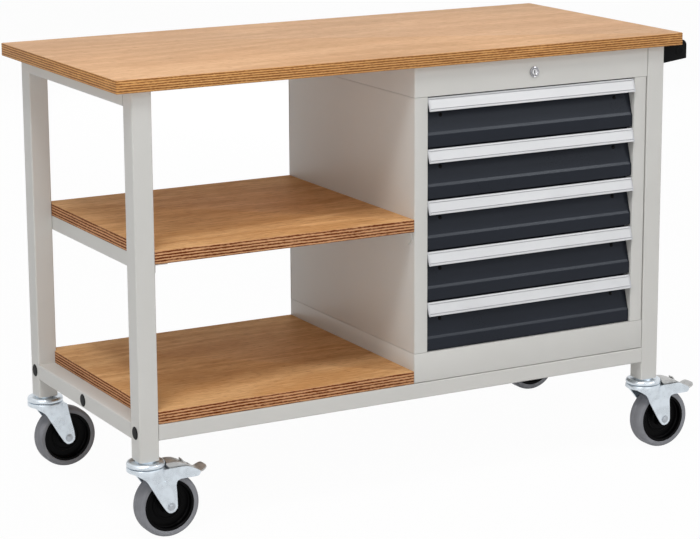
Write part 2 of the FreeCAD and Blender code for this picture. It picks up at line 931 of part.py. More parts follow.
def tyre():
    middle = Vector(caster_trail, 0, wheel_radius)
    half = wheel_width / 2
    bead = rim_width / 2
    flat = tread_flat / 2
    shoulder = wheel_radius - shoulder_height
    side = half - flat
    curve = (shoulder_height ** 2 + side ** 2) / (2 * shoulder_height)
    turn = math.atan2(side, curve - shoulder_height) / 2
    swell = wheel_radius - curve + curve * math.cos(turn)
    rise = curve * math.sin(turn)

    def at(radius, y):
        return middle + Vector(radius, y, 0)

    right = Part.Arc(at(shoulder, half), at(swell, flat + rise), at(wheel_radius, flat))
    left = Part.Arc(at(wheel_radius, -flat), at(swell, -flat - rise), at(shoulder, -half))
    edges = [
        Part.LineSegment(at(rim_radius, -bead), at(rim_radius, bead)).toShape(),
        Part.LineSegment(at(rim_radius, bead), at(shoulder, half)).toShape(),
        right.toShape(),
        Part.LineSegment(at(wheel_radius, flat), at(wheel_radius, -flat)).toShape(),
        left.toShape(),
        Part.LineSegment(at(shoulder, -half), at(rim_radius, -bead)).toShape(),
    ]
    return Part.Face(Part.Wire(edges)).revolve(middle, along_y, 360)


def hub():
    bore = axle_radius + fit_gap
    boss = fork_inner - hub_side_gap
    web = web_thickness / 2
    bead = rim_width / 2
    inner_rim = rim_radius - rim_thickness
    half = [
        (bore, boss),
        (hub_radius, boss),
        (hub_radius, web),
        (inner_rim, web),
        (inner_rim, bead),
        (rim_radius, bead),
    ]
    return turned(half + [(radius, -y) for radius, y in reversed(half)])


def fork(brake):
    axle_place = (caster_trail, wheel_radius)
    chord = math.sqrt(crown_radius ** 2 - fork_outer ** 2)
    knee = (-knee_back, crown_low - knee_drop)
    foot = tangent_point(knee, axle_place, boss_radius)
    outline = [
        (-chord, crown_low + crown_plate, 0),
        (knee[0], knee[1], knee_round),
        (foot[0], foot[1], 0),
        (caster_trail, wheel_radius, 0),
        (caster_trail + boss_radius, wheel_radius, 0),
    ]
    if brake:
        arm_low = crown_low - arm_drop
        outline += [
            (arm_root, arm_low, arm_round),
            (arm_end - arm_nose / 2, arm_low, arm_tip_round),
            (arm_end, arm_low + arm_nose, arm_tip_round),
            (shoe_start, crown_top - arm_shoulder_drop, arm_round),
        ]
    else:
        outline.append((crown_tail, crown_low, 0))
    outline.append((crown_tail, crown_low + crown_plate, 0))
    crown = rod(Vector(0, 0, crown_low), along_z, crown_radius, crown_height)
    crown = round_rims(crown, crown_round, crown_top)
    bridge = box(0, crown_tail, -fork_outer, fork_outer, crown_low, crown_low + crown_plate)
    pieces = [bridge]
    for y0 in (-fork_outer, fork_inner):
        side = rounded_face([(Vector(x, y0, z), radius) for x, z, radius in outline])
        pieces.append(side.extrude(along_y * fork_plate))
        pieces.append(rod(Vector(caster_trail, y0, wheel_radius), along_y, boss_radius, fork_plate))
    body = crown.fuse(pieces).removeSplitter()
    body = body.cut(rod(Vector(0, 0, crown_low), along_z, stem_radius + fit_gap, crown_height))
    across = Vector(0, -fork_outer, 0)
    axle_start = Vector(caster_trail, 0, wheel_radius) + across
    body = body.cut(rod(axle_start, along_y, axle_radius + fit_gap, 2 * fork_outer))
    solids = [axle()]
    if brake:
        pin_start = pivot_place() + across
        body = body.cut(rod(pin_start, along_y, pivot_radius + fit_gap, 2 * fork_outer))
        solids.append(rod(pin_start, along_y, pivot_radius, 2 * fork_outer))
    return [body] + solids


def axle():
    start = Vector(caster_trail, -fork_outer, wheel_radius)
    bolt = rod(start, along_y, axle_radius, 2 * fork_outer)
    head = rod(start, -along_y, axle_head_radius, axle_head_height)
    nut = rod(start + along_y * (2 * fork_outer), along_y, axle_head_radius, axle_head_height)
    return bolt.fuse([head, nut]).removeSplitter()


def pivot_place():
    return Vector(pivot_x, 0, crown_low - pivot_radius / 2)


def pedal():
    top = [
        (pedal_start, crown_top + pedal_rise),
        (pedal_hump, crown_top + pedal_rise - pedal_plate / 2),
        (tab_x, crown_top - pedal_tab_drop),
        (pedal_valley, crown_top - pedal_valley_drop),
        (pedal_reach, crown_top - pedal_tip_drop),
    ]
    under = [(x, z - pedal_plate) for x, z in reversed(top)]
    half = fork_inner - pedal_side_gap
    plan = [
        (pedal_start, -half, 0),
        (pedal_reach, -half, pedal_corner),
    ]
    plan += [(x, -y, radius) for x, y, radius in reversed(plan)]
    blank = rounded_face([(Vector(x, y, 0), radius) for x, y, radius in plan])
    plate = prism_y(top + under, -half, half)
    plate = plate.common(blank.extrude(along_z * caster_height))
    pivot = pivot_place()
    lug_half = pivot_lug_radius
    slab_z = crown_top + pedal_rise - pedal_plate
    lug = rod(pivot - along_y * half, along_y, lug_half, 2 * half)
    lug = lug.fuse(box(pivot.x - lug_half, pivot.x + lug_half, -half, half, pivot.z, slab_z))
    shoe_half = fork_inner - shoe_side_gap
    tyre_drop = math.sqrt(wheel_radius ** 2 - (shoe_start - caster_trail) ** 2)
    shoe_low = wheel_radius + tyre_drop + shoe_gap
    fall_share = (shoe_end - tab_x) / (pedal_valley - tab_x)
    shoe_top = top[2][1] + (top[3][1] - top[2][1]) * fall_share - pedal_plate / 2
    shoe = box(shoe_start, shoe_end, -shoe_half, shoe_half, shoe_low, shoe_top)
    tab_low = top[2][1] - pedal_plate
    tab_end = tab_x + tab_thickness
    tab = box(tab_x, tab_end, -tab_width / 2, tab_width / 2, tab_low, tab_low + tab_height)
    lance = box(tab_end, tab_end + tab_height, -tab_width / 2, tab_width / 2, shoe_low, tab_low + tab_height)
    body = plate.cut(lance).fuse([lug, shoe, tab]).removeSplitter()
    return body.cut(rod(pivot - along_y * half, along_y, pivot_radius + fit_gap, 2 * half))


def caster_head():
    race = rod(Vector(0, 0, race_low), along_z, race_radius, race_height)
    race = round_rims(race, race_round, race_low + race_height)
    washer = rod(Vector(0, 0, race_low + race_height), along_z, washer_radius, washer_height)
    pin_head = rod(Vector(0, 0, pin_top - pin_head_height), along_z, pin_head_radius, pin_head_height)
    stem_top = caster_height + foot_plate + stem_nut_height + stem_end
    stem = rod(Vector(0, 0, pin_top), along_z, stem_radius, stem_top - pin_top)
    head = race.fuse([washer, pin_head, stem]).removeSplitter()
    nut_seat = Vector(0, 0, caster_height + foot_plate)
    nut = hexagon(nut_seat, stem_nut_radius, stem_nut_height)
    nut = nut.cut(rod(nut_seat, along_z, stem_radius + fit_gap, stem_nut_height))
    return [head, nut]


def save_frame():
    for side, side_name in ((-1, "left"), (1, "right")):
        for end, end_name in ((-1, "front"), (1, "rear")):
            save("leg_" + end_name + "_" + side_name, [leg(side, end)])
    save("end_rails", end_rails())
    save("long_rails", [long_rail(y) for y in bolt_rows()])
    save("worktop", [worktop()])
    save("bottom_shelf", [bottom_shelf()])
    save("mid_shelf", [mid_shelf()])
    save("shelf_angles", [shelf_angle(-inner_x, 1), shelf_angle(cabinet_left, -1)])
    save("hole_plugs", hole_plugs())
    save("frame_bolts", frame_bolts())
    save("wood_screws", wood_screws())
    save("push_bar_brackets", [handle_bracket(-1), handle_bracket(1)])
    save("push_bar", [push_bar()])


def save_cabinet():
    save("cabinet_plinth", [cabinet_plinth()])
    save("cabinet_top_frame", [cabinet_top_frame()])
    save("cabinet_left_side", [cabinet_left_side()])
    save("cabinet_right_side", [mirror_x(cabinet_side(), cabinet_mid)])
    save("cabinet_back", [cabinet_back()])
    save("cabinet_inner_frame", cabinet_inner_frame())
    save("fixed_runners", fixed_runners())
    save("lock_barrel", lock_barrel())
    save("lock_core", [lock_core()])
    save("locking_bar", [locking_bar()])
    for number in range(1, drawer_count + 1):
        name = "drawer_" + str(number) + "_"
        save(name + "tray", drawer_tray(number))
        save(name + "front", drawer_front(number))
        save(name + "grip", [drawer_grip(number)])
        save(name + "slides", drawer_slides(number))


def save_casters():
    heads = []
    for side, side_name in ((-1, "left"), (1, "right")):
        for end, end_name in ((-1, "front"), (1, "rear")):
            name = "caster_" + end_name + "_" + side_name + "_"
            brake = end < 0
            heads += [at_corner(solid, side, end) for solid in caster_head()]
            save(name + "fork", [at_corner(solid, side, end) for solid in fork(brake)])
            save(name + "hub", [at_corner(hub(), side, end)])
            save(name + "tyre", [at_corner(tyre(), side, end)])
            if brake:
                save(name + "pedal", [at_corner(pedal(), side, end)])
    save("caster_heads", heads)


os.makedirs("parts", exist_ok=True)
save_frame()
save_cabinet()
save_casters()
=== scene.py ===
import bpy
import math
from mathutils import Matrix, Vector


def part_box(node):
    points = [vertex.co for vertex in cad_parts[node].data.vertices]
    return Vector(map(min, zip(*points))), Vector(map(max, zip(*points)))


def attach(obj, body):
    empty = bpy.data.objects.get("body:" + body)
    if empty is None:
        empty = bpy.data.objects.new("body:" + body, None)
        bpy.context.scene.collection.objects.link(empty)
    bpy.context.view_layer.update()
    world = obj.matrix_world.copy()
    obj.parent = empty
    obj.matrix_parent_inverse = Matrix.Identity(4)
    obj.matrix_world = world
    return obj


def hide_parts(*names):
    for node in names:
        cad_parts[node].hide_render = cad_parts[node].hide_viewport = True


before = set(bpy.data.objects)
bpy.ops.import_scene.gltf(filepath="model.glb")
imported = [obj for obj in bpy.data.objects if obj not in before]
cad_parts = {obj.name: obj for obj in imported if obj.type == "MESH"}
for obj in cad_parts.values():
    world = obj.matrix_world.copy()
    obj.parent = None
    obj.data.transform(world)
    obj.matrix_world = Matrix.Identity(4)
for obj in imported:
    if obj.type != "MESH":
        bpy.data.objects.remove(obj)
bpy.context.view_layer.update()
print("frame loaded:", len(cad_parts), "nodes")

weldGap = 0.000005  # points closer than this become one
foldGap = 0.0002  # how near an edge lies to a fold that is picked
longEdge = 0.1  # folds are longer than this
uprightEdge = 0.01  # and the corners of a board are longer than this
quarter = [math.radians(90) * step / 8 for step in range(9)]  # turns of a rounded corner


# small tools for modelling
def deselectAll():
    if bpy.context.object and bpy.context.object.mode != "OBJECT":
        bpy.ops.object.mode_set(mode="OBJECT")
    bpy.ops.object.select_all(action="DESELECT")


def makeActive(piece):
    deselectAll()
    piece.select_set(True)
    bpy.context.view_layer.objects.active = piece


def editPiece(piece, kind):
    makeActive(piece)
    bpy.ops.object.mode_set(mode="EDIT")
    bpy.ops.mesh.select_mode(type=kind)


def leaveEdit():
    bpy.ops.object.mode_set(mode="OBJECT")


def pickAll():
    bpy.ops.mesh.select_all(action="SELECT")


def closeMesh():  # faces turned outward
    pickAll()
    bpy.ops.mesh.normals_make_consistent()
    leaveEdit()


def pickParts(piece, kind, wanted):  # edges or faces, chosen by their corner points
    editPiece(piece, kind)
    bpy.ops.mesh.select_all(action="DESELECT")
    leaveEdit()
    for part in piece.data.edges if kind == "EDGE" else piece.data.polygons:
        part.select = wanted([piece.data.vertices[i].co for i in part.vertices])
    bpy.ops.object.mode_set(mode="EDIT")


def pickFolds(piece, axis, places):  # long edges along one axis, through points on the other two
    first, second = [i for i in range(3) if i != axis]

    def wanted(ends):
        a, b = ends
        near = any(abs(a[first] - u) + abs(a[second] - v) < foldGap for u, v in places)
        return near and abs(a[axis] - b[axis]) > longEdge

    pickParts(piece, "EDGE", wanted)


def bevelPicked(width, segments):
    bpy.ops.mesh.bevel(offset=width, segments=segments)
    leaveEdit()


def nameIt(piece, name):
    piece.name = name
    piece.data.name = name
    return piece


def newBlock(name, low, high):
    deselectAll()
    low, high = Vector(low), Vector(high)
    bpy.ops.mesh.primitive_cube_add(size=1.0, location=(low + high) / 2)
    piece = nameIt(bpy.context.object, name)
    piece.scale = high - low
    bpy.ops.object.transform_apply()
    return piece


def newBar(name, outline, sweep):  # a flat outline pulled along a straight line
    deselectAll()
    bpy.ops.mesh.primitive_circle_add(vertices=len(outline), fill_type="NGON")
    piece = nameIt(bpy.context.object, name)
    for vertex, point in zip(piece.data.vertices, outline):
        vertex.co = point
    editPiece(piece, "FACE")
    pickAll()
    bpy.ops.mesh.extrude_region_move(TRANSFORM_OT_translate={"value": sweep})
    closeMesh()
    return piece


def newGrid(name, columns, rows):
    deselectAll()
    bpy.ops.mesh.primitive_grid_add(x_subdivisions=columns, y_subdivisions=rows, size=1.0)
    return nameIt(bpy.context.object, name)


def newTurned(name, profile, centre, axis, steps=48):  # profile of (radius, along) spun round an axis
    deselectAll()
    centre, axis = Vector(centre), Vector(axis).normalized()
    side = axis.orthogonal().normalized()
    bpy.ops.mesh.primitive_circle_add(vertices=len(profile))
    piece = nameIt(bpy.context.object, name)
    for vertex, (radius, along) in zip(piece.data.vertices, profile):
        vertex.co = centre + side * radius + axis * along
    editPiece(piece, "VERT")
    pickAll()
    bpy.ops.mesh.spin(steps=steps, angle=2 * math.pi, center=centre, axis=axis)
    pickAll()
    bpy.ops.mesh.remove_doubles(threshold=weldGap)
    bpy.ops.mesh.delete_loose()
    closeMesh()
    return piece


def setAll(thing, settings):
    for key, value in settings.items():
        setattr(thing, key, value)


def reshape(piece, kind, **settings):
    modifier = piece.modifiers.new("reshape", kind)
    setAll(modifier, settings)
    makeActive(piece)
    bpy.ops.object.modifier_apply(modifier=modifier.name)


def roundEdges(piece, width, segments=2, angle=40):
    reshape(piece, "BEVEL", width=width, segments=segments, limit_method="ANGLE",
            angle_limit=math.radians(angle))


def thicken(piece, thickness):  # a sheet given its wall, half to each side
    reshape(piece, "SOLIDIFY", thickness=thickness, offset=0.0)


def joinPieces(name, pieces):
    deselectAll()
    for piece in pieces:
        piece.select_set(True)
    bpy.context.view_layer.objects.active = pieces[0]
    bpy.ops.object.join()
    return nameIt(pieces[0], name)


def copyPiece(piece, name, shift):
    makeActive(piece)
    bpy.ops.object.duplicate()
    copy = nameIt(bpy.context.object, name)
    copy.location = shift
    bpy.ops.object.transform_apply()
    return copy


def finishPiece(piece, body, slot, finish, angle=40, nodes=()):
    makeActive(piece)
    bpy.ops.object.shade_smooth_by_angle(angle=math.radians(angle))
    piece.data.materials.clear()
    piece.data.materials.append(finishes[finish])
    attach(piece, body)
    if nodes:
        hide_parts(*nodes)


def placeSet(patterns, prefix, body, shift):  # a set of pieces, copied unless it is the first set itself
    for pattern, name, slot, finish, angle, node in patterns:
        piece = pattern if pattern.name == prefix + name else copyPiece(pattern, prefix + name, shift)
        finishPiece(piece, body, slot, finish, angle, [prefix + node] if node else [])


# finishes
def tint(red, green, blue):  # 0 to 255 screen colour as a scene colour
    levels = []
    for level in (red, green, blue):
        level = level / 255
        levels.append(level / 12.92 if level <= 0.04045 else ((level + 0.055) / 1.055) ** 2.4)
    return (*levels, 1.0)


def newGroup(name, inputs, outputs):
    group = bpy.data.node_groups.new(name, "ShaderNodeTree")
    for label, kind in inputs:
        group.interface.new_socket(label, in_out="INPUT", socket_type="NodeSocket" + kind)
    for label, kind in outputs:
        group.interface.new_socket(label, in_out="OUTPUT", socket_type="NodeSocket" + kind)
    return group, group.nodes.new("NodeGroupInput"), group.nodes.new("NodeGroupOutput")


def addNode(tree, kind, **settings):
    node = tree.nodes.new("ShaderNode" + kind)
    setAll(node, settings)
    return node


def feed(tree, socket, item):  # a plain value, or the output of another node
    if isinstance(item, (int, float, tuple)):
        socket.default_value = item
    else:
        tree.links.new(item, socket)


def wire(tree, node, **items):  # several inputs by name
    for label, item in items.items():
        feed(tree, node.inputs[label], item)
    return node


def addMath(tree, operation, *items):
    node = addNode(tree, "Math", operation=operation)
    for socket, item in zip(node.inputs, items):
        feed(tree, socket, item)
    return node.outputs[0]


def plus(tree, a, b):
    return addMath(tree, "ADD", a, b)


def times(tree, a, b):
    return addMath(tree, "MULTIPLY", a, b)


def centred(tree, noise, share):  # a noise moved to lie round zero
    return times(tree, addMath(tree, "SUBTRACT", noise, 0.5), share)


def objectCoords(tree):
    return addNode(tree, "TexCoord").outputs["Object"]


def addNoise(tree, coords, stretch, detail=3.0, rough=0.55, bend=0.0):
    mapping = wire(tree, addNode(tree, "Mapping"), Vector=coords, Scale=stretch)
    noise = wire(tree, addNode(tree, "TexNoise"), Vector=mapping.outputs["Vector"], Scale=1.0, Detail=detail,
                 Roughness=rough, Distortion=bend)
    return noise.outputs["Fac"]


def addEvenNoise(group, scale, detail):  # the same scale on all three axes, set by the group's user
    noise = wire(group, addNode(group, "TexNoise"), Vector=objectCoords(group), Scale=scale, Detail=detail)
    return noise.outputs["Fac"]


def addRange(tree, value, low, high, toLow, toHigh):
    node = addNode(tree, "MapRange", interpolation_type="SMOOTHSTEP")
    for socket, item in zip(node.inputs, (value, low, high, toLow, toHigh)):
        feed(tree, socket, item)
    return node.outputs[0]


def addMix(tree, share, first, second):
    node = addNode(tree, "Mix", data_type="RGBA")
    for place, item in ((0, share), (6, first), (7, second)):  # the colour sockets of the node
        feed(tree, node.inputs[place], item)
    return node.outputs[2]


def makeSoftVariation():  # slow cloudy change of a colour, for any finish
    group, start, end = newGroup("softVariation",
                                 [("Color", "Color"), ("Amount", "Float"), ("Scale", "Float")],
                                 [("Color", "Color"), ("Mask", "Float")])
    noise = addEvenNoise(group, start.outputs["Scale"], 4.0)
    mask = addRange(group, noise, 0.3, 0.7, 0.0, 1.0)
    low = addMath(group, "SUBTRACT", 1.0, start.outputs["Amount"])
    high = plus(group, 1.0, start.outputs["Amount"])
    level = addRange(group, mask, 0.0, 1.0, low, high)
    shade = wire(group, addNode(group, "HueSaturation"), Value=level, Color=start.outputs["Color"])
    wire(group, end, Color=shade.outputs["Color"], Mask=mask)
    return group


def makeFineGrit():  # small even bumps: powder coat, moulded plastic, rubber
    group, start, end = newGroup("fineGrit", [("Scale", "Float")], [("Height", "Float"), ("Gloss", "Float")])
    noise = addEvenNoise(group, start.outputs["Scale"], 2.0)
    wire(group, end, Height=noise, Gloss=addRange(group, noise, 0.35, 0.65, -0.04, 0.04))
    return group


grainLook = {"flame": (0.55, 4.5, 4.5), "rings": 9.0, "broad": (2.4, 8.0, 8.0), "fine": (16.0, 260.0, 260.0),
             "fleck": (45.0, 400.0, 400.0), "ringShare": 0.24, "broadShare": 0.20, "fineShare": 0.62,
             "fleckShare": 0.6, "pore": -0.6}


def makeWoodGrain():  # soft flame figure, short grain lines and small beech flecks along the bench
    look = grainLook
    group, start, end = newGroup("woodGrain", [("Light", "Color"), ("Dark", "Color"), ("Fleck", "Color")],
                                 [("Color", "Color"), ("Height", "Float")])
    coords = objectCoords(group)
    field = addNoise(group, coords, look["flame"], 1.5, 0.45, 0.4)
    rings = addMath(group, "PINGPONG", times(group, field, look["rings"]), 0.5)  # level lines of a slow field
    broad = addNoise(group, coords, look["broad"], 4.0, 0.6, 0.6)
    fine = addNoise(group, coords, look["fine"], 4.0, 0.65, 0.1)
    flecks = addNoise(group, coords, look["fleck"], 1.0, 0.5)
    lines = plus(group, times(group, broad, look["broadShare"]), times(group, fine, look["fineShare"]))
    lines = plus(group, lines, times(group, rings, look["ringShare"]))
    pale = addRange(group, lines, 0.36, 0.64, 0.0, 1.0)
    spots = addRange(group, flecks, 0.55, 0.72, 0.0, look["fleckShare"])
    body = addMix(group, pale, start.outputs["Dark"], start.outputs["Light"])
    wire(group, end, Color=addMix(group, spots, body, start.outputs["Fleck"]),
         Height=plus(group, fine, times(group, flecks, look["pore"])))
    return group


plyLook = {"streak": (14.0, 14.0, 500.0), "speck": (150.0, 150.0, 420.0), "wave": (7.0, 7.0, 2.0),
           "streakShare": 1.3, "speckShare": 1.1, "waveShare": 0.5, "cloud": 0.05, "patch": 3.0,
           "bump": 0.18, "depth": 0.0004}


def makePlyLayers():  # the veneers that show on a plywood edge
    look = plyLook
    group, start, end = newGroup("plyLayers", [("Low", "Float"), ("Thick", "Float"), ("Plies", "Float"),
                                               ("Light", "Color"), ("Dark", "Color")],
                                 [("Color", "Color"), ("Height", "Float")])
    coords = objectCoords(group)
    place = addNode(group, "SeparateXYZ")
    group.links.new(coords, place.inputs[0])
    streaks = addNoise(group, coords, look["streak"], 4.0, 0.6)
    specks = addNoise(group, coords, look["speck"], 2.0, 0.6)
    rough = plus(group, centred(group, streaks, look["streakShare"]),
                 centred(group, specks, look["speckShare"]))
    wobble = centred(group, addNoise(group, coords, look["wave"]), look["waveShare"])
    rise = addMath(group, "SUBTRACT", place.outputs["Z"], start.outputs["Low"])
    share = addMath(group, "DIVIDE", rise, start.outputs["Thick"])
    layer = plus(group, times(group, share, start.outputs["Plies"]), wobble)
    wave = addMath(group, "PINGPONG", layer, 1.0)  # light and dark veneers in turn
    mask = addRange(group, plus(group, wave, rough), 0.15, 0.85, 0.0, 1.0)
    wire(group, end, Color=addMix(group, mask, start.outputs["Dark"], start.outputs["Light"]),
         Height=plus(group, mask, streaks))
    return group


def makeBrushedLines():  # drawn lines along the bench
    group, start, end = newGroup("brushedLines", [("Depth", "Float")],
                                 [("Height", "Float"), ("Gloss", "Float")])
    lines = addNoise(group, objectCoords(group), (4.0, 1800.0, 1800.0), 3.0, 0.6)
    wire(group, end, Height=times(group, lines, start.outputs["Depth"]),
         Gloss=addRange(group, lines, 0.3, 0.7, -0.06, 0.06))
    return group


softVariation = makeSoftVariation()
fineGrit = makeFineGrit()
woodGrain = makeWoodGrain()
plyLayers = makePlyLayers()
brushedLines = makeBrushedLines()


def newFinish(name):
    finish = bpy.data.materials.new(name)
    finish.use_nodes = True
    return finish, finish.node_tree, finish.node_tree.nodes["Principled BSDF"]


def useGroup(tree, group, **values):
    return wire(tree, addNode(tree, "Group", node_tree=group), **values)


def addBump(tree, height, strength, distance):
    bump = wire(tree, addNode(tree, "Bump"), Height=height, Strength=strength, Distance=distance)
    return bump.outputs["Normal"]


def coated(name, look):  # paint, plastic, rubber and metal finishes
    finish, tree, shader = newFinish(name)
    color = useGroup(tree, softVariation, Color=tint(*look["color"]), Amount=look["cloud"],
                     Scale=look["patch"])
    if look.get("brushed"):
        texture = useGroup(tree, brushedLines, Depth=look["brushed"])
    else:
        texture = useGroup(tree, fineGrit, Scale=look["grit"])
    rough = plus(tree, texture.outputs["Gloss"], look["rough"])
    rough = plus(tree, rough, times(tree, color.outputs["Mask"], look.get("smear", 0.03)))
    wire(tree, shader, **{"Base Color": color.outputs["Color"], "Roughness": rough,
                          "Metallic": look.get("metal", 0.0), "Specular IOR Level": look.get("shine", 0.5),
                          "Specular Tint": look.get("cast", (1, 1, 1, 1)),
                          "Normal": addBump(tree, texture.outputs["Height"], look["bump"], look["depth"])})
    return finish


paintLooks = {
    "lightGreyPaint": {"color": (209, 208, 204), "cloud": 0.012, "patch": 5.0, "grit": 650.0,
                       "rough": 0.42, "bump": 0.10, "depth": 0.0004},
    "anthracitePaint": {"color": (27, 30, 38), "cloud": 0.06, "patch": 6.0, "grit": 650.0,
                        "rough": 0.31, "bump": 0.12, "depth": 0.0004, "shine": 0.20,
                        "cast": (0.84, 0.91, 1.0, 1.0)},
    "gripAluminium": {"color": (202, 203, 205), "cloud": 0.03, "patch": 9.0, "brushed": 1.0,
                      "rough": 0.48, "bump": 0.08, "depth": 0.0002, "metal": 0.3, "shine": 0.3},
    "gripCap": {"color": (198, 199, 203), "cloud": 0.02, "patch": 20.0, "grit": 1200.0,
                "rough": 0.45, "bump": 0.08, "depth": 0.0002},
    "zincSteel": {"color": (208, 216, 223), "cloud": 0.07, "patch": 60.0, "grit": 420.0,
                  "rough": 0.28, "bump": 0.05, "depth": 0.0003, "metal": 0.9, "smear": 0.08},
    "pedalSteel": {"color": (186, 186, 185), "cloud": 0.08, "patch": 70.0, "grit": 500.0,
                   "rough": 0.30, "bump": 0.06, "depth": 0.0003, "metal": 0.6, "smear": 0.08},
    "runnerSteel": {"color": (178, 182, 186), "cloud": 0.06, "patch": 45.0, "brushed": 1.0,
                    "rough": 0.34, "bump": 0.05, "depth": 0.0002, "metal": 0.85, "smear": 0.08},
    "nutSteel": {"color": (172, 177, 183), "cloud": 0.06, "patch": 90.0, "grit": 700.0,
                 "rough": 0.30, "bump": 0.05, "depth": 0.0002, "metal": 0.9, "smear": 0.08},
    "coreSteel": {"color": (214, 214, 216), "cloud": 0.03, "patch": 90.0, "grit": 900.0,
                  "rough": 0.22, "bump": 0.03, "depth": 0.0001, "metal": 0.9},
    "lockChrome": {"color": (166, 166, 169), "cloud": 0.02, "patch": 80.0, "grit": 900.0,
                   "rough": 0.14, "bump": 0.02, "depth": 0.0001, "metal": 1.0},
    "greyRubber": {"color": (136, 137, 142), "cloud": 0.07, "patch": 35.0, "grit": 1500.0,
                   "rough": 0.68, "bump": 0.25, "depth": 0.0004, "shine": 0.3},
    "rimPlastic": {"color": (4, 4, 5), "cloud": 0.12, "patch": 30.0, "grit": 1300.0,
                   "rough": 0.36, "bump": 0.15, "depth": 0.0003, "shine": 0.06},
    "blackPlastic": {"color": (8, 8, 9), "cloud": 0.10, "patch": 30.0, "grit": 1300.0,
                     "rough": 0.46, "bump": 0.18, "depth": 0.0003, "shine": 0.08},
    "blackPaint": {"color": (11, 11, 12), "cloud": 0.06, "patch": 12.0, "grit": 700.0,
                   "rough": 0.34, "bump": 0.10, "depth": 0.0004, "shine": 0.2},
}
finishes = {name: coated(name, look) for name, look in paintLooks.items()}


def plywood(name, look, low, thick):  # grain on the faces, veneers on the edges
    finish, tree, shader = newFinish(name)
    grain = useGroup(tree, woodGrain, Light=tint(*look["light"]), Dark=tint(*look["dark"]),
                     Fleck=tint(*look["fleck"]))
    layers = useGroup(tree, plyLayers, Low=low, Thick=thick, Plies=look["plies"],
                      Light=tint(*look["edgeLight"]), Dark=tint(*look["edgeDark"]))
    facing = addNode(tree, "SeparateXYZ")
    tree.links.new(addNode(tree, "TexCoord").outputs["Normal"], facing.inputs[0])
    flat = addRange(tree, addMath(tree, "ABSOLUTE", facing.outputs["Z"]), 0.45, 0.75, 0.0, 1.0)
    color = addMix(tree, flat, layers.outputs["Color"], grain.outputs["Color"])
    cloudy = useGroup(tree, softVariation, Color=color, Amount=plyLook["cloud"], Scale=plyLook["patch"])
    rough = addRange(tree, grain.outputs["Height"], 0.0, 0.8, look["rough"] + 0.08, look["rough"] - 0.05)
    height = addNode(tree, "Mix", data_type="FLOAT")
    for place, item in ((0, flat), (2, layers.outputs["Height"]), (3, grain.outputs["Height"])):
        feed(tree, height.inputs[place], item)
    wire(tree, shader, **{"Base Color": cloudy.outputs["Color"], "Roughness": rough,
                          "Specular IOR Level": look["shine"],
                          "Normal": addBump(tree, height.outputs[0], plyLook["bump"], plyLook["depth"])})
    return finish


# boards: worktop and the two shelves
shelfLook = {"light": (231, 186, 134), "dark": (199, 148, 95), "fleck": (160, 108, 63),
             "edgeLight": (211, 160, 116), "edgeDark": (100, 40, 4), "plies": 9.0, "rough": 0.62,
             "shine": 0.08, "corner": 0.002, "arris": 0.0008, "tongue": 0.0}
boardLooks = {
    "worktop": {"light": (236, 191, 148), "dark": (216, 168, 125), "fleck": (184, 132, 90),
                "edgeLight": (214, 160, 98), "edgeDark": (134, 82, 38), "plies": 11.0, "rough": 0.52,
                "shine": 0.20, "corner": 0.003, "arris": 0.0010, "tongue": 0.0},
    "mid_shelf": shelfLook,
    "bottom_shelf": {**shelfLook, "tongue": 0.004},
}
tongueLook = {"half": 0.2297, "overlap": 0.001}
for node, look in boardLooks.items():
    low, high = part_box(node)
    body = Vector((low.x + look["tongue"], low.y, low.z))
    board = newBlock(node + "_board", body, high)
    pickParts(board, "EDGE", lambda ends: abs(ends[0].z - ends[1].z) > uprightEdge)
    bevelPicked(look["corner"], 4)
    roundEdges(board, look["arris"])
    if look["tongue"]:  # strip between the legs, over the end rail
        half = tongueLook["half"]
        tongue = newBlock("tongue", (low.x, -half, low.z), (body.x + tongueLook["overlap"], half, high.z))
        roundEdges(tongue, look["arris"])
        board = joinPieces(node + "_board", [board, tongue])
    finish = node + "Plywood"
    finishes[finish] = plywood(finish, look, low.z, high.z - low.z)
    finishPiece(board, "frame", "beech_plywood", finish, 35, [node])
print("boards done")

# drawer fronts: one folded sheet with a bead, closed ends and two rivets
frontLook = {"sheet": 0.0015, "depth": 0.015, "slantDrop": 0.030, "slantRecess": 0.0015, "beadReach": 0.0030,
             "beadRise": 0.0290, "flatRise": 0.0235, "bend": 0.0007, "rivetInset": 0.037, "rivetDrop": 0.010,
             "rivetRadius": 0.004, "rivetRise": 0.0014, "rivetSink": 0.0004}


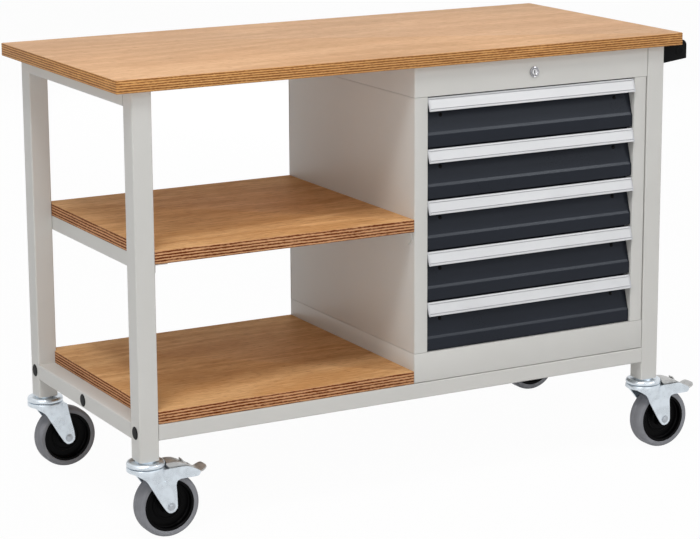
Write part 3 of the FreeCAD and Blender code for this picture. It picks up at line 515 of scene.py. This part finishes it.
def frontPieces(low, high):
    look = frontLook
    sheet = look["sheet"]
    back, flatY = high.y, low.y
    slantY = back - look["slantRecess"]
    slant = (slantY, high.z - look["slantDrop"])
    bead = (flatY + look["beadReach"], low.z + look["beadRise"])
    flat = (flatY, low.z + look["flatRise"])
    outer = [(back, high.z), (slantY, high.z), slant, bead, flat, (flatY, low.z), (back, low.z)]
    inner = [(back, low.z + sheet), (flatY + sheet, low.z + sheet), (flatY + sheet, flat[1]),
             (bead[0] + sheet, bead[1]), (back, slant[1])]
    width = high.x - low.x - 2 * sheet
    shell = newBar("frontShell", [(low.x + sheet, y, z) for y, z in outer + inner], (width, 0, 0))
    pickFolds(shell, 0, (slant, bead, flat, (flatY, low.z)))
    bevelPicked(look["bend"], 3)
    pieces = [shell]
    for x in (low.x, high.x - sheet):
        pieces.append(newBar("frontEnd", [(x, y, z) for y, z in outer], (sheet, 0, 0)))
    run = Vector((0, bead[0] - slant[0], bead[1] - slant[1])).normalized()
    outward = Vector((0, run.z, -run.y))
    radius, rise, sink = look["rivetRadius"], look["rivetRise"], look["rivetSink"]
    dome = [(0, -sink), (radius, -sink), (radius, rise * 0.3), (radius * 0.8, rise * 0.75),
            (radius * 0.45, rise), (0, rise)]
    rivets = []
    for x in (low.x + look["rivetInset"], high.x - look["rivetInset"]):
        seat = Vector((x, slant[0], slant[1])) + run * look["rivetDrop"]
        rivets.append(newTurned("frontRivet", dome, seat, outward, 20))
    return pieces, rivets


# grips: drawn aluminium profile with fine grooves and a cap on each end
gripLook = {"thick": 0.002, "lean": 0.010, "backLeg": 0.014, "cap": 0.0030, "capStep": 0.0006,
            "capSoft": 0.0005, "topLine": 0.0040, "lipLine": 0.0048, "groove": 0.0009, "grooveDeep": 1.8,
            "edge": 0.0009, "reveal": 0.0016, "channel": 0.0055}


def gripPieces(low, high):
    look = gripLook
    thick, groove, cap, step = look["thick"], look["groove"], look["cap"], look["capStep"]
    back, lower = high.y, low.y
    upper = lower + look["lean"]
    top = high.z - look["reveal"]  # dark joint over the grip
    flange = top - look["channel"]
    under = flange - thick
    drop = top - low.z
    along = Vector((lower - upper, -drop))
    length = along.length
    along.normalize()
    inward = Vector((-along.y, along.x))

    def onFace(reach, depth=0.0):
        point = Vector((upper, top)) + along * reach + inward * depth
        return (point.x, point.y)

    def behindFace(z):
        return (upper + thick - look["lean"] * (top - z) / drop, z)

    face = [onFace(0.0)]
    for place in (look["topLine"], length - look["lipLine"]):
        face += [onFace(place - groove), onFace(place, groove * look["grooveDeep"]), onFace(place + groove)]
    face.append(onFace(length))
    leg = [(back - thick, high.z - look["backLeg"]), (back, high.z - look["backLeg"])]
    behind = [(lower + thick, low.z), behindFace(under), (back - thick, under)] + leg
    outline = [(back, flange), behindFace(flange), behindFace(top)] + face + behind
    width = high.x - low.x - 2 * cap
    profile = newBar("gripProfile", [(low.x + cap, y, z) for y, z in outline], (width, 0, 0))
    pickFolds(profile, 0, (onFace(0.0), onFace(length), behind[0]))
    bevelPicked(look["edge"], 3)
    capOutline = [(back, top), (upper - step, top), (lower - step, low.z), (lower + thick + step, low.z),
                  (behindFace(under)[0] + step, under - step), (back - thick, under - step)] + leg
    caps = []
    for x in (low.x, high.x - cap):
        end = newBar("gripEnd", [(x, y, z) for y, z in capOutline], (cap, 0, 0))
        roundEdges(end, look["capSoft"])
        caps.append(end)
    return profile, caps


lowFront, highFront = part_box("drawer_1_front")
lowGrip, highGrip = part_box("drawer_1_grip")
highFront.y = highGrip.y + frontLook["slantRecess"]
lowFront.y = highGrip.y - frontLook["depth"]
facePieces, faceRivets = frontPieces(lowFront, highFront)
gripBar, gripEnds = gripPieces(lowGrip, highGrip)
drawerSet = (  # piece of the first drawer, its name, slot, finish, smooth angle and the node it stands for
    (joinPieces("drawer_1_face", facePieces), "_face", "anthracite_paint", "anthracitePaint", 40, "_front"),
    (joinPieces("drawer_1_rivets", faceRivets), "_rivets", "black_plastic", "blackPlastic", 50, None),
    (nameIt(gripBar, "drawer_1_gripBar"), "_gripBar", "aluminium", "gripAluminium", 40, "_grip"),
    (joinPieces("drawer_1_gripCaps", gripEnds), "_gripCaps", "aluminium", "gripCap", 40, None),
)
for number in range(1, 6):
    body = "drawer_%d" % number
    placeSet(drawerSet, body, body, Vector((0, 0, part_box(body + "_grip")[1].z - highGrip.z)))
print("drawer fronts and grips done")

# lock: a chrome rosette round the core, with its nut behind the panel
lockLook = {"ring": 0.0105, "flange": 0.003, "round": 0.0012, "groove": 0.0082, "grooveHalf": 0.0005,
            "grooveDeep": 0.0009, "step": 0.0002, "bore": 0.0057, "mouth": 0.0010, "body": 0.008,
            "nut": 0.0125, "nutThick": 0.004, "sheet": 0.0015}
low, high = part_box("lock_barrel")
lockPlace = Vector(((low.x + high.x) / 2, low.y, (low.z + high.z) / 2))
rim, lip, flange = lockLook["ring"], lockLook["round"], lockLook["flange"]
groove, grooveHalf = lockLook["groove"], lockLook["grooveHalf"]
bore, stem, nut = lockLook["bore"], lockLook["body"], lockLook["nut"]
nutStart = flange + lockLook["sheet"]
nutEnd = nutStart + lockLook["nutThick"]
rosette = [(bore, lockLook["mouth"]), (bore + lockLook["mouth"], 0.0), (groove - grooveHalf, 0.0),
           (groove, lockLook["grooveDeep"]), (groove + grooveHalf, lockLook["step"]), (rim - lip, 0.0),
           (rim - lip * 0.3, lip * 0.3), (rim, lip), (rim, flange), (stem, flange), (stem, nutStart),
           (nut, nutStart), (nut, nutEnd), (stem, nutEnd), (stem, high.y - low.y), (bore, high.y - low.y)]
lockRing = newTurned("lock_rosette", rosette, lockPlace, (0, 1, 0), 40)
finishPiece(lockRing, "frame", "chrome", "lockChrome", 40, ["lock_barrel"])

# keyway: a thin black block on the core's face, painted shade standing for the dark inside the key slot; it
# turns with the core
keyLook = {"half": 0.0011, "tall": 0.0034, "rise": 0.0001, "deep": 0.002}
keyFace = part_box("lock_core")[0].y
keyHalf, keyTall = keyLook["half"], keyLook["tall"]
# painted shade: the black plastic here stands for the shadow deep in the key slot
keywayShade = newBlock("lock_keywayShade", (lockPlace.x - keyHalf, keyFace - keyLook["rise"], lockPlace.z - keyTall),
                  (lockPlace.x + keyHalf, keyFace + keyLook["deep"], lockPlace.z + keyTall))
finishPiece(keywayShade, "lock_core", "black_plastic", "blackPlastic")
print("lock done")

# wheels: rounded tyre and deep ribbed rim, turned once and copied to the corners
casterLook = {"trail": 0.040, "radius": 0.0625, "half": 0.019, "flat": 0.008, "shoulder": 0.0065,
              "partHalf": 0.0006, "partDeep": 0.0003, "rim": 0.0505, "rimGap": 0.0003, "bead": 0.0175,
              "beadEdge": 0.0008, "rimThick": 0.005, "web": 0.005, "fillet": 0.002, "hub": 0.015,
              "hubEdge": 0.001, "boss": 0.021, "bore": 0.0053, "rib": (0.026, 0.027, 0.030, 0.031),
              "ribRise": 0.0012}
corners = {}  # swivel axis of each caster on the floor
for corner in ("front_left", "rear_left", "front_right", "rear_right"):
    low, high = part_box("caster_%s_tyre" % corner)
    corners[corner] = Vector(((low.x + high.x) / 2 - casterLook["trail"], (low.y + high.y) / 2, 0))


def tyreProfile():
    look = casterLook
    half, flat, radius, shoulder = look["half"], look["flat"], look["radius"], look["shoulder"]
    right = []
    for turn in quarter:
        right.append((radius - shoulder + shoulder * math.sin(turn),
                      half - (half - flat) * (1 - math.cos(turn))))
    part = look["partHalf"]
    line = [(radius, part), (radius - look["partDeep"], 0.0), (radius, -part)]  # parting line of the mould
    left = [(r, -y) for r, y in reversed(right)]
    return [(look["rim"], look["bead"])] + right + line + left + [(look["rim"], -look["bead"])]


def rimProfile():
    look = casterLook
    hub, boss, web, bead, edge = look["hub"], look["boss"], look["web"], look["bead"], look["hubEdge"]
    fillet, lip, inner = look["fillet"], look["beadEdge"], look["rim"] - look["rimThick"]
    ribStart, ribTop, ribEnd, ribFoot = look["rib"]
    ribFace = web + look["ribRise"]
    half = [(look["bore"], boss), (hub - edge, boss), (hub, boss - edge), (hub, web + fillet),
            (hub + fillet, web), (ribStart, web), (ribTop, ribFace), (ribEnd, ribFace), (ribFoot, web),
            (inner - fillet, web), (inner, web + fillet), (inner, bead - lip), (inner + lip, bead),
            (look["rim"] - look["rimGap"], bead)]
    return half + [(radius, -y) for radius, y in reversed(half)]


axlePlace = Vector((casterLook["trail"], 0, casterLook["radius"]))
firstWheel = corners["front_left"] + axlePlace
firstTread = newTurned("caster_front_left_tread", tyreProfile(), firstWheel, (0, 1, 0), 72)
firstRim = newTurned("caster_front_left_rim", rimProfile(), firstWheel, (0, 1, 0), 72)
wheelSet = ((firstTread, "_tread", "grey_rubber", "greyRubber", 50, "_tyre"),
            (firstRim, "_rim", "black_plastic", "rimPlastic", 40, "_hub"))
for corner, axisFoot in corners.items():
    placeSet(wheelSet, "caster_" + corner, "wheel_" + corner, axisFoot + axlePlace - firstWheel)
print("wheels done")

# caster heads and forks: hems and shoulders are steps in from the rim and up or down from a face
headLook = {"race": 0.0365, "low": 0.143, "top": 0.153, "bore": 0.006, "washer": 0.0195, "seat": 0.155,
            "hem": ((0.003, 0.0), (0.0004, 0.0012), (0.0, 0.003)),
            "shoulder": ((0.0003, 0.0042), (0.0016, 0.0016), (0.0042, 0.0002), (0.0065, 0.0),
                         (0.010, 0.0008)),
            "dish": ((0.002, 0.0012), (0.0, 0.0004)), "pin": 0.011, "pinEdge": 0.001, "pinLow": 0.1286,
            "pinTop": 0.1326}
forkLook = {"crown": 0.0365, "crownLow": 0.133, "crownTop": 0.1426, "hem": ((0.002, 0.0), (0.0, 0.0015)),
            "shoulder": ((0.0, 0.0024), (0.0006, 0.0009), (0.0022, 0.0)), "bore": 0.0062, "plate": 0.003,
            "side": 0.0235, "flareLow": 0.098, "flareTop": 0.134, "roundShare": 0.985, "flatFrom": 0.0265,
            "rows": 46, "columns": 18, "weld": 0.00002, "axle": 0.005, "pin": 0.003,
            "bridge": (0.012, 0.037), "bridgeHalf": 0.0245, "bridgeRise": (0.0004, 0.004), "soft": 0.001}
pedalPivot = (0.058, 0, 0.1315)
forkLead = [(0.0400, 0.0495), (0.0345, 0.0508), (0.0290, 0.0560), (0.0250, 0.0620), (0.0180, 0.0730),
            (0.0030, 0.0990), (-0.0090, 0.1180), (-0.0140, 0.1240), (-0.0205, 0.1285), (-0.0275, 0.1325),
            (-0.0300, 0.1370)]  # leading edge from the axle up
forkHeel = [(0.0400, 0.0495), (0.0470, 0.0516), (0.0520, 0.0570), (0.0530, 0.0625)]
forkTrail = {  # trailing edge, with an arm for the pedal where there is a brake
    True: forkHeel + [(0.0524, 0.0850), (0.0512, 0.1030), (0.0522, 0.1082), (0.0548, 0.1118),
                      (0.0590, 0.1136), (0.0620, 0.1140), (0.0960, 0.1141), (0.0995, 0.1160),
                      (0.1018, 0.1195), (0.1015, 0.1235), (0.0985, 0.1262), (0.0820, 0.1345),
                      (0.0740, 0.1370)],
    False: forkHeel + [(0.0515, 0.0760), (0.0440, 0.1060), (0.0390, 0.1300), (0.0375, 0.1370)],
}


def acrossAt(edge, height):  # where an edge line stands at a height
    for (x0, z0), (x1, z1) in zip(edge, edge[1:]):
        if z0 <= height <= z1:
            return x0 + (x1 - x0) * (height - z0) / max(z1 - z0, 1e-9)
    return edge[-1][0]


def easeIn(value):
    value = min(max(value, 0.0), 1.0)
    return value * value * (3 - 2 * value)


def rimLine(radius, low, top, hem, shoulder):  # rounded edge of a disc, from its lower to its upper face
    line = [(radius - inset, low + rise) for inset, rise in hem]
    return line + [(radius - inset, top - drop) for inset, drop in shoulder]


def tubeProfile(inner, outer, half):
    return [(inner, -half), (outer, -half), (outer, half), (inner, half)]


def forkReach(x, z):  # half width: flat at the axle, round like the crown at the top
    crown, side = forkLook["crown"], forkLook["side"]
    low, top = forkLook["flareLow"], forkLook["flareTop"]
    ring = math.sqrt(max(crown ** 2 - min(abs(x), crown * forkLook["roundShare"]) ** 2, 0.0))
    ring -= forkLook["plate"] / 2
    if x > forkLook["flatFrom"]:
        ring = side
    return side + (ring - side) * easeIn((z - low) / (top - low))


def forkSheet(side, brake):
    look = forkLook
    foot, top, rows = forkLead[0][1], forkLead[-1][1], look["rows"]
    levels = [z for x, z in forkLead + forkTrail[brake]]
    levels += [foot + (top - foot) * i / rows for i in range(rows + 1)]
    levels = sorted(set(levels))
    last = len(levels) - 1
    sheet = newGrid("forkSheet", look["columns"], last)
    for vertex in sheet.data.vertices:
        share = vertex.co.x + 0.5
        z = levels[round((vertex.co.y + 0.5) * last)]
        left, right = acrossAt(forkLead, z), acrossAt(forkTrail[brake], z)
        x = left + (right - left) * share
        vertex.co = (x, side * forkReach(x, z), z)
    editPiece(sheet, "VERT")
    pickAll()
    bpy.ops.mesh.remove_doubles(threshold=look["weld"])
    closeMesh()
    thicken(sheet, look["plate"])
    return sheet


def forkPieces(brake):
    look = forkLook
    low, top, bore, side = look["crownLow"], look["crownTop"], look["bore"], look["side"]
    rounded = rimLine(look["crown"], low, top, look["hem"], look["shoulder"])
    pieces = [newTurned("forkCrown", [(bore, low)] + rounded + [(bore, top)], (0, 0, 0), (0, 0, 1), 64)]
    pieces += [forkSheet(-1, brake), forkSheet(1, brake)]
    (start, end), (under, over), half = look["bridge"], look["bridgeRise"], look["bridgeHalf"]
    bridge = newBlock("forkBridge", (start, -half, low + under), (end, half, low + over))
    roundEdges(bridge, look["soft"])
    pieces.append(bridge)
    axle = tubeProfile(0, look["axle"], side + look["plate"] / 2)
    pieces.append(newTurned("axle", axle, axlePlace, (0, 1, 0), 24))
    if brake:  # the pin ends inside the plates
        pieces.append(newTurned("pedalPin", tubeProfile(0, look["pin"], side), pedalPivot, (0, 1, 0), 16))
    return pieces


nutLook = {"washer": 0.008, "washerBore": 0.0045, "washerThick": 0.0008, "washerEdge": (0.0003, 0.0002),
           "sink": 0.0003, "corner": 0.0068, "turn": 12, "thick": 0.0017, "soft": 0.0005, "stud": 0.0036,
           "studEdge": 0.0006, "rise": 0.003}


def nutPieces():  # hexagon nut, its washer and the end of the axle on both sides
    look = nutLook
    outer = forkLook["side"] + forkLook["plate"] / 2
    rim, bore, thick, sink = look["washer"], look["washerBore"], look["washerThick"], look["sink"]
    inset, fall = look["washerEdge"]
    washer = [(bore, -sink), (rim, -sink), (rim, thick - fall), (rim - inset, thick), (bore, thick)]
    stud, edge, rise = look["stud"], look["studEdge"], look["rise"]
    tip = [(0, 0), (stud, 0), (stud, rise - edge), (stud - edge, rise), (0, rise)]
    pieces = []
    for side in (-1, 1):
        place = axlePlace + Vector((0, side * outer, 0))
        hexagon = []
        for step in range(6):
            swing = math.radians(60 * step + look["turn"])
            reach = Vector((math.cos(swing), 0, math.sin(swing))) * look["corner"]
            hexagon.append(place + reach + Vector((0, side * thick, 0)))
        nut = newBar("axleNut", hexagon, (0, side * look["thick"], 0))
        roundEdges(nut, look["soft"])
        pieces += [nut, newTurned("nutWasher", washer, place, (0, side, 0), 32),
                   newTurned("axleTip", tip, place, (0, side, 0), 20)]
    return pieces


def headPieces():  # dished race with a rounded shoulder, washer and pivot pin below
    look = headLook
    low, top, bore, washer, seat = look["low"], look["top"], look["bore"], look["washer"], look["seat"]
    rounded = rimLine(look["race"], low, top, look["hem"], look["shoulder"])
    dish = [(washer + reach, top - drop) for reach, drop in look["dish"]]
    race = [(bore, low)] + rounded + dish + [(washer, seat), (bore, seat)]
    pin, edge, pinLow, pinTop = look["pin"], look["pinEdge"], look["pinLow"], look["pinTop"]
    stem = [(0, pinLow), (pin - edge, pinLow), (pin, pinLow + edge), (pin, pinTop), (bore, pinTop),
            (bore, low), (0, low)]
    return [newTurned("headRace", race, (0, 0, 0), (0, 0, 1), 64),
            newTurned("headPin", stem, (0, 0, 0), (0, 0, 1), 24)]


# brake pedal: a pressed plate with a hump, a lanced tab and a tip that turns up
pedalLook = {"half": 0.019, "corner": 0.009, "thick": 0.0028, "crown": 0.0012, "columns": 19, "heel": 0.0385,
             "slot": (0.077, 0.087, 0.007), "soft": 0.0005, "skirt": 0.0095, "skirtEnd": 0.101,
             "skirtThick": 0.002, "skirtTop": 0.001, "skirtRun": (0.010, 0.030), "lug": (0.0033, 0.0055),
             "web": ((0.0535, -0.0185, 0.1352), (0.0625, 0.0185, 0.1430)),
             "shoe": ((0.076, -0.015, 0.1201), (0.086, 0.015, 0.1300)), "shoeSoft": 0.001}
pedalLine = [(0.0425, 0.1452), (0.0480, 0.1455), (0.0540, 0.1450), (0.0600, 0.1440), (0.0660, 0.1418),
             (0.0715, 0.1392), (0.0770, 0.1362), (0.0820, 0.1333), (0.0870, 0.1304), (0.0920, 0.1275),
             (0.0970, 0.1246), (0.1010, 0.1223), (0.1035, 0.1210), (0.1060, 0.1206), (0.1090, 0.1214),
             (0.1120, 0.1229), (0.1145, 0.1242), (0.1165, 0.1252), (0.1180, 0.1259), (0.1192, 0.1264),
             (0.1200, 0.1266)]
tabLine = [(0.0738, 0.1372), (0.0768, 0.1372), (0.0762, 0.1412), (0.0722, 0.1462), (0.0700, 0.1448),
           (0.0734, 0.1405)]


def pedalPlate():
    look = pedalLook
    corner, last = look["corner"], len(pedalLine) - 1
    plate = newGrid("pedalPlate", last, look["columns"])
    tipStart = pedalLine[-1][0] - corner
    for vertex in plate.data.vertices:
        x, z = pedalLine[round((vertex.co.x + 0.5) * last)]
        half = look["half"]
        if x > tipStart:
            half -= corner - math.sqrt(max(corner ** 2 - (x - tipStart) ** 2, 0.0))
        y = vertex.co.y * 2 * half
        if x == pedalLine[0][0]:  # the heel follows the race
            x = math.sqrt(look["heel"] ** 2 - y ** 2)
        vertex.co = (x, y, z + look["crown"] * (1 - (y / look["half"]) ** 2))
    start, end, wide = look["slot"]

    def inSlot(points):
        centre = sum(points, Vector()) / len(points)
        return start < centre.x < end and abs(centre.y) < wide

    pickParts(plate, "FACE", inSlot)
    bpy.ops.mesh.delete(type="FACE")
    leaveEdit()
    thicken(plate, look["thick"])
    roundEdges(plate, look["soft"], 2, 50)
    return plate


def pedalPieces():
    look = pedalLook
    plate = pedalPlate()
    wide = look["slot"][2]
    tab = newBar("pedalTab", [(x, -wide, z) for x, z in tabLine], (0, 2 * wide, 0))
    roundEdges(tab, look["soft"])
    start, end = math.sqrt(look["heel"] ** 2 - look["half"] ** 2), look["skirtEnd"]
    edge = [(start, pedalLine[0][1])] + [(x, z) for x, z in pedalLine if x <= end]
    hem = []
    for x, z in reversed(edge):  # turned down sides, deepest at the pivot
        share = min((x - start) / look["skirtRun"][0], (end - x) / look["skirtRun"][1], 1.0)
        hem.append((x, z - look["skirtTop"] - look["skirt"] * easeIn(share)))
    skirts = []
    for y in (-look["half"], look["half"] - look["skirtThick"]):
        side = [(x, y, z) for x, z in edge + hem]
        skirts.append(newBar("pedalSkirt", side, (0, look["skirtThick"], 0)))
    lug = newTurned("pedalLug", tubeProfile(*look["lug"], look["half"]), pedalPivot, (0, 1, 0), 28)
    web = newBlock("pedalWeb", *look["web"])
    shoe = newBlock("pedalShoe", *look["shoe"])
    roundEdges(shoe, look["shoeSoft"])
    return [plate, tab, lug, web, shoe] + skirts


plainFork = joinPieces("plainFork", forkPieces(False))
brakeFork = joinPieces("brakeFork", forkPieces(True))
axleNuts = joinPieces("axleNuts", nutPieces())
brakePedal = joinPieces("brakePedal", pedalPieces())
casterHead = joinPieces("casterHead", headPieces())
nutSet = (axleNuts, "_axleNuts", "zinc_steel", "nutSteel", 35, None)
pedalSet = (brakePedal, "_pedalSteel", "zinc_steel", "pedalSteel", 45, "_pedal")
headCopies = []
for corner, axisFoot in corners.items():
    brake = corner.startswith("front")
    caster = "caster_" + corner
    forkSet = (brakeFork if brake else plainFork, "_forkSteel", "zinc_steel", "zincSteel", 38, "_fork")
    placeSet((forkSet, nutSet), caster, caster, axisFoot)
    headCopies.append(copyPiece(casterHead, "headCopy", axisFoot))
    if brake:
        placeSet((pedalSet,), caster, "pedal_" + corner, axisFoot)
heads = joinPieces("caster_headsSteel", headCopies)
finishPiece(heads, "frame", "zinc_steel", "zincSteel", 38, ["caster_heads"])
for pattern in (plainFork, brakeFork, axleNuts, brakePedal, casterHead):
    bpy.data.objects.remove(pattern)
print("caster forks, heads and pedals done")

# hole plugs: domed black caps on the end frames
plugLook = {"radius": 0.0125, "rise": 0.0012, "edge": 0.0004, "stem": 0.0098, "deep": 0.004,
            "rows": (-0.25, 0.0, 0.25)}
low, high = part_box("hole_plugs")
plugHeight = (low.z + high.z) / 2
radius, rise, stem, deep = plugLook["radius"], plugLook["rise"], plugLook["stem"], plugLook["deep"]
plugDome = [(0, -deep), (stem, -deep), (stem, 0.0), (radius, 0.0), (radius, plugLook["edge"]),
            (radius * 0.93, rise * 0.8), (radius * 0.75, rise), (0, rise)]
plugs = []
for side, x in ((-1, low.x + rise), (1, high.x - rise)):
    for y in plugLook["rows"]:
        plugs.append(newTurned("plug", plugDome, (x, y, plugHeight), (side, 0, 0), 32))
plugCaps = joinPieces("hole_plugCaps", plugs)
finishPiece(plugCaps, "frame", "black_plastic", "blackPlastic", 40, ["hole_plugs"])

# push bar brackets: rounded nose past the worktop, tapered underside, round bar seat on the outer face
bracketLook = {"rows": (-0.25, 0.25), "width": 0.024, "nose": 0.012, "taper": 0.007, "soft": 0.0016,
               "clear": 0.0003, "seat": 0.0098, "seatRise": 0.0007, "seatEdge": 0.0006, "seatSink": 0.001,
               "dimple": (0.0062, 0.0056), "dimpleFloor": 0.0001}
low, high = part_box("push_bar_brackets")
barLow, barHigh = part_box("push_bar")
barPlace = (barLow + barHigh) / 2
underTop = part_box("worktop")[0].z
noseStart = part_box("worktop")[1].x + bracketLook["clear"]
nose, width = bracketLook["nose"], bracketLook["width"]
outline = [(low.x, underTop), (noseStart, underTop), (noseStart, high.z)]
for turn in quarter:
    outline.append((high.x - nose + nose * math.sin(turn), high.z - nose + nose * math.cos(turn)))
outline += [(high.x, low.z + bracketLook["taper"]), (low.x, low.z)]
seat, seatRise, seatSink = bracketLook["seat"], bracketLook["seatRise"], bracketLook["seatSink"]
(mouth, floor), dimpleFloor = bracketLook["dimple"], bracketLook["dimpleFloor"]
seatDisc = [(0, -seatSink), (seat, -seatSink), (seat, seatRise * 0.6),
            (seat - bracketLook["seatEdge"], seatRise), (mouth, seatRise), (floor, dimpleFloor),
            (0, dimpleFloor)]
brackets = []
for y in bracketLook["rows"]:
    bracket = newBar("bracket", [(x, y - width / 2, z) for x, z in outline], (0, width, 0))
    roundEdges(bracket, bracketLook["soft"], 3)
    side = -1 if y < 0 else 1
    place = (barPlace.x, y + side * width / 2, barPlace.z)
    brackets += [bracket, newTurned("barSeat", seatDisc, place, (0, side, 0), 40)]
barGrips = joinPieces("push_bar_grips", brackets)
finishPiece(barGrips, "frame", "black_plastic", "blackPlastic", 40, ["push_bar_brackets"])
print("plugs and brackets done")

# cabinet sides: folded panels with soft bends at the stiles and a dark joint beside the right leg
sideLook = {"sheet": 0.0015, "stile": 0.030, "return": 0.020, "flange": 0.020, "bend": 0.0018, "seam": 0.0006,
            "joint": 0.0013}
for node, turned, joint in (("cabinet_left_side", 1, 0.0), ("cabinet_right_side", -1, sideLook["joint"])):
    low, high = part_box(node)
    sheet, flange, stile = sideLook["sheet"], sideLook["flange"], sideLook["stile"] - joint
    outer = low.x if turned > 0 else high.x - joint
    inside = low.y + sideLook["return"]
    plan = [(0, low.y), (stile, low.y), (stile, inside), (stile - sheet, inside),
            (stile - sheet, low.y + sheet), (sheet, low.y + sheet), (sheet, high.y - sheet),
            (flange, high.y - sheet), (flange, high.y), (0, high.y)]
    foot, tall = low.z + sideLook["seam"], high.z - low.z - 2 * sideLook["seam"]
    panel = newBar(node + "_panel", [(outer + turned * x, y, foot) for x, y in plan], (0, 0, tall))
    pickFolds(panel, 2, ((outer, low.y), (outer + turned * stile, low.y), (outer, high.y)))
    bevelPicked(sideLook["bend"], 4)
    finishPiece(panel, "frame", "light_grey_paint", "lightGreyPaint", 40, [node])

# plinth: four folded panels that stand a hair above the rails, so the seam shows
plinthLook = {"sheet": 0.0015, "flange": 0.020, "seam": 0.0013, "soft": 0.0006, "tuck": 0.0002}
low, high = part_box("cabinet_plinth")
sheet, flange, tuck = plinthLook["sheet"], plinthLook["flange"], plinthLook["tuck"]
foot, front, rear = low.z + plinthLook["seam"], low.y + sheet, high.y - sheet
plinth = []
for wallBox, flangeBox in (  # each as low x, low y, high x, high y
        ((low.x, low.y, high.x, front), (low.x, low.y, high.x, low.y + flange)),
        ((low.x, rear, high.x, high.y), (low.x, high.y - flange, high.x, high.y)),
        ((low.x, front, low.x + sheet, rear), (low.x, front, low.x + flange, rear)),
        ((high.x - sheet, front, high.x, rear), (high.x - flange, front, high.x, rear))):
    wall = newBlock("plinthWall", (*wallBox[:2], foot), (*wallBox[2:], high.z))
    roundEdges(wall, plinthLook["soft"])
    x0, y0, x1, y1 = flangeBox
    x0, y0, x1, y1 = x0 + tuck, y0 + tuck, x1 - tuck, y1 - tuck
    plinth += [wall, newBlock("plinthFoot", (x0, y0, foot + tuck), (x1, y1, foot + sheet)),
               newBlock("plinthHead", (x0, y0, high.z - sheet), (x1, y1, high.z - tuck))]
plinthPanels = joinPieces("cabinet_plinthPanels", plinth)
finishPiece(plinthPanels, "frame", "light_grey_paint", "lightGreyPaint", 40, ["cabinet_plinth"])
print("cabinet panels done")

# finishes of the CAD nodes that stay
nodeFinishes = {
    "lightGreyPaint": ("leg_", "end_rails", "long_rails", "shelf_angles", "cabinet_top_frame", "cabinet_back",
                       "_tray"),
    "runnerSteel": ("cabinet_inner_frame", "fixed_runners", "_slides", "locking_bar"),
    "zincSteel": ("frame_bolts", "wood_screws"),
    "coreSteel": ("lock_core",),
    "blackPaint": ("push_bar",),
}
for name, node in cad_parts.items():
    for finish, parts in nodeFinishes.items():
        if any(part in name for part in parts):
            node.data.materials.clear()
            node.data.materials.append(finishes[finish])
print("node finishes done")


# pale floor: white to the camera, keeps a soft shadow
def seenRays(tree):  # 1 for rays that show a surface, 0 for rays that only light it
    path = addNode(tree, "LightPath")
    seen = addMath(tree, "MAXIMUM", path.outputs["Is Camera Ray"], path.outputs["Is Glossy Ray"])
    return addMath(tree, "MAXIMUM", seen, path.outputs["Is Transmission Ray"])


stageLook = {"size": 60.0, "floor": (236, 236, 236), "rough": 0.9, "glow": 0.97, "fill": 0.22}
deselectAll()
bpy.ops.mesh.primitive_plane_add(size=stageLook["size"])
studioFloor = nameIt(bpy.context.object, "studioFloor")
floorFinish, floorTree, floorShader = newFinish("paleFloor")
wire(floorTree, floorShader, **{"Base Color": tint(*stageLook["floor"]), "Roughness": stageLook["rough"]})
glow = wire(floorTree, addNode(floorTree, "Emission"), Strength=1.0)
blend = addNode(floorTree, "MixShader")
floorTree.links.new(times(floorTree, seenRays(floorTree), stageLook["glow"]), blend.inputs[0])
floorTree.links.new(floorShader.outputs[0], blend.inputs[1])
floorTree.links.new(glow.outputs[0], blend.inputs[2])
floorTree.links.new(blend.outputs[0], floorTree.nodes["Material Output"].inputs["Surface"])
studioFloor.data.materials.append(floorFinish)

world = bpy.data.worlds.new("studioWorld")
world.use_nodes = True
worldTree = world.node_tree
sky = worldTree.nodes["Background"]
fill = stageLook["fill"]
level = plus(worldTree, times(worldTree, seenRays(worldTree), 1.0 - fill), fill)
wire(worldTree, sky, Color=(1, 1, 1, 1), Strength=level)
bpy.context.scene.world = world

# soft lamps
lampLooks = {
    "keyLamp": {"place": (-1.75, -2.1, 4.9), "size": 1.4, "power": 102.0},
    "edgeLamp": {"place": (2.9, -3.4, 3.3), "size": 1.1, "power": 50.0},
    "frontLamp": {"place": (0.5, -5.5, 1.6), "size": 3.0, "power": 18.0},
    "leftHighLamp": {"place": (-3.6, -1.4, 3.9), "size": 2.6, "power": 19.0},
    "leftLowLamp": {"place": (-4.0, -3.0, 1.9), "size": 2.6, "power": 32.0},
    "topLamp": {"place": (0, 0.4, 4.2), "size": 3.0, "power": 12.0},
    "backLamp": {"place": (2.4, 4.4, 0.9), "size": 1.3, "power": 50.0, "matt": True},
}
lampAim = Vector((0, 0, 0.5))
for name, look in lampLooks.items():
    lampData = bpy.data.lights.new(name, "AREA")
    lampData.size = look["size"]
    lampData.energy = look["power"]
    lamp = bpy.data.objects.new(name, lampData)
    bpy.context.scene.collection.objects.link(lamp)
    lamp.location = look["place"]
    lamp.visible_glossy = not look.get("matt", False)  # no sheen from behind
    lamp.rotation_euler = (lampAim - Vector(look["place"])).to_track_quat("-Z", "Y").to_euler()
print("stage and lamps done")

# camera at the photo's angle
cameraLook = {"place": (-2.3567, -4.2271, 1.5435), "heading": 28.920, "tilt": 12.574, "roll": -0.259}
cameraLens = {"sensor_width": 36.0, "lens": 124.298, "shift_x": -0.0022, "shift_y": -0.0448,
              "clip_end": 200.0}
cameraData = bpy.data.cameras.new("benchCamera")
setAll(cameraData, cameraLens)
camera = bpy.data.objects.new("benchCamera", cameraData)
bpy.context.scene.collection.objects.link(camera)
camera.location = cameraLook["place"]
turn = (Matrix.Rotation(-math.radians(cameraLook["heading"]), 3, "Z")
        @ Matrix.Rotation(math.radians(90 - cameraLook["tilt"]), 3, "X")
        @ Matrix.Rotation(math.radians(cameraLook["roll"]), 3, "Z"))
camera.rotation_euler = turn.to_euler()
bpy.context.scene.camera = camera

bpy.context.scene.view_settings.view_transform = "Standard"
print("bench dressed")
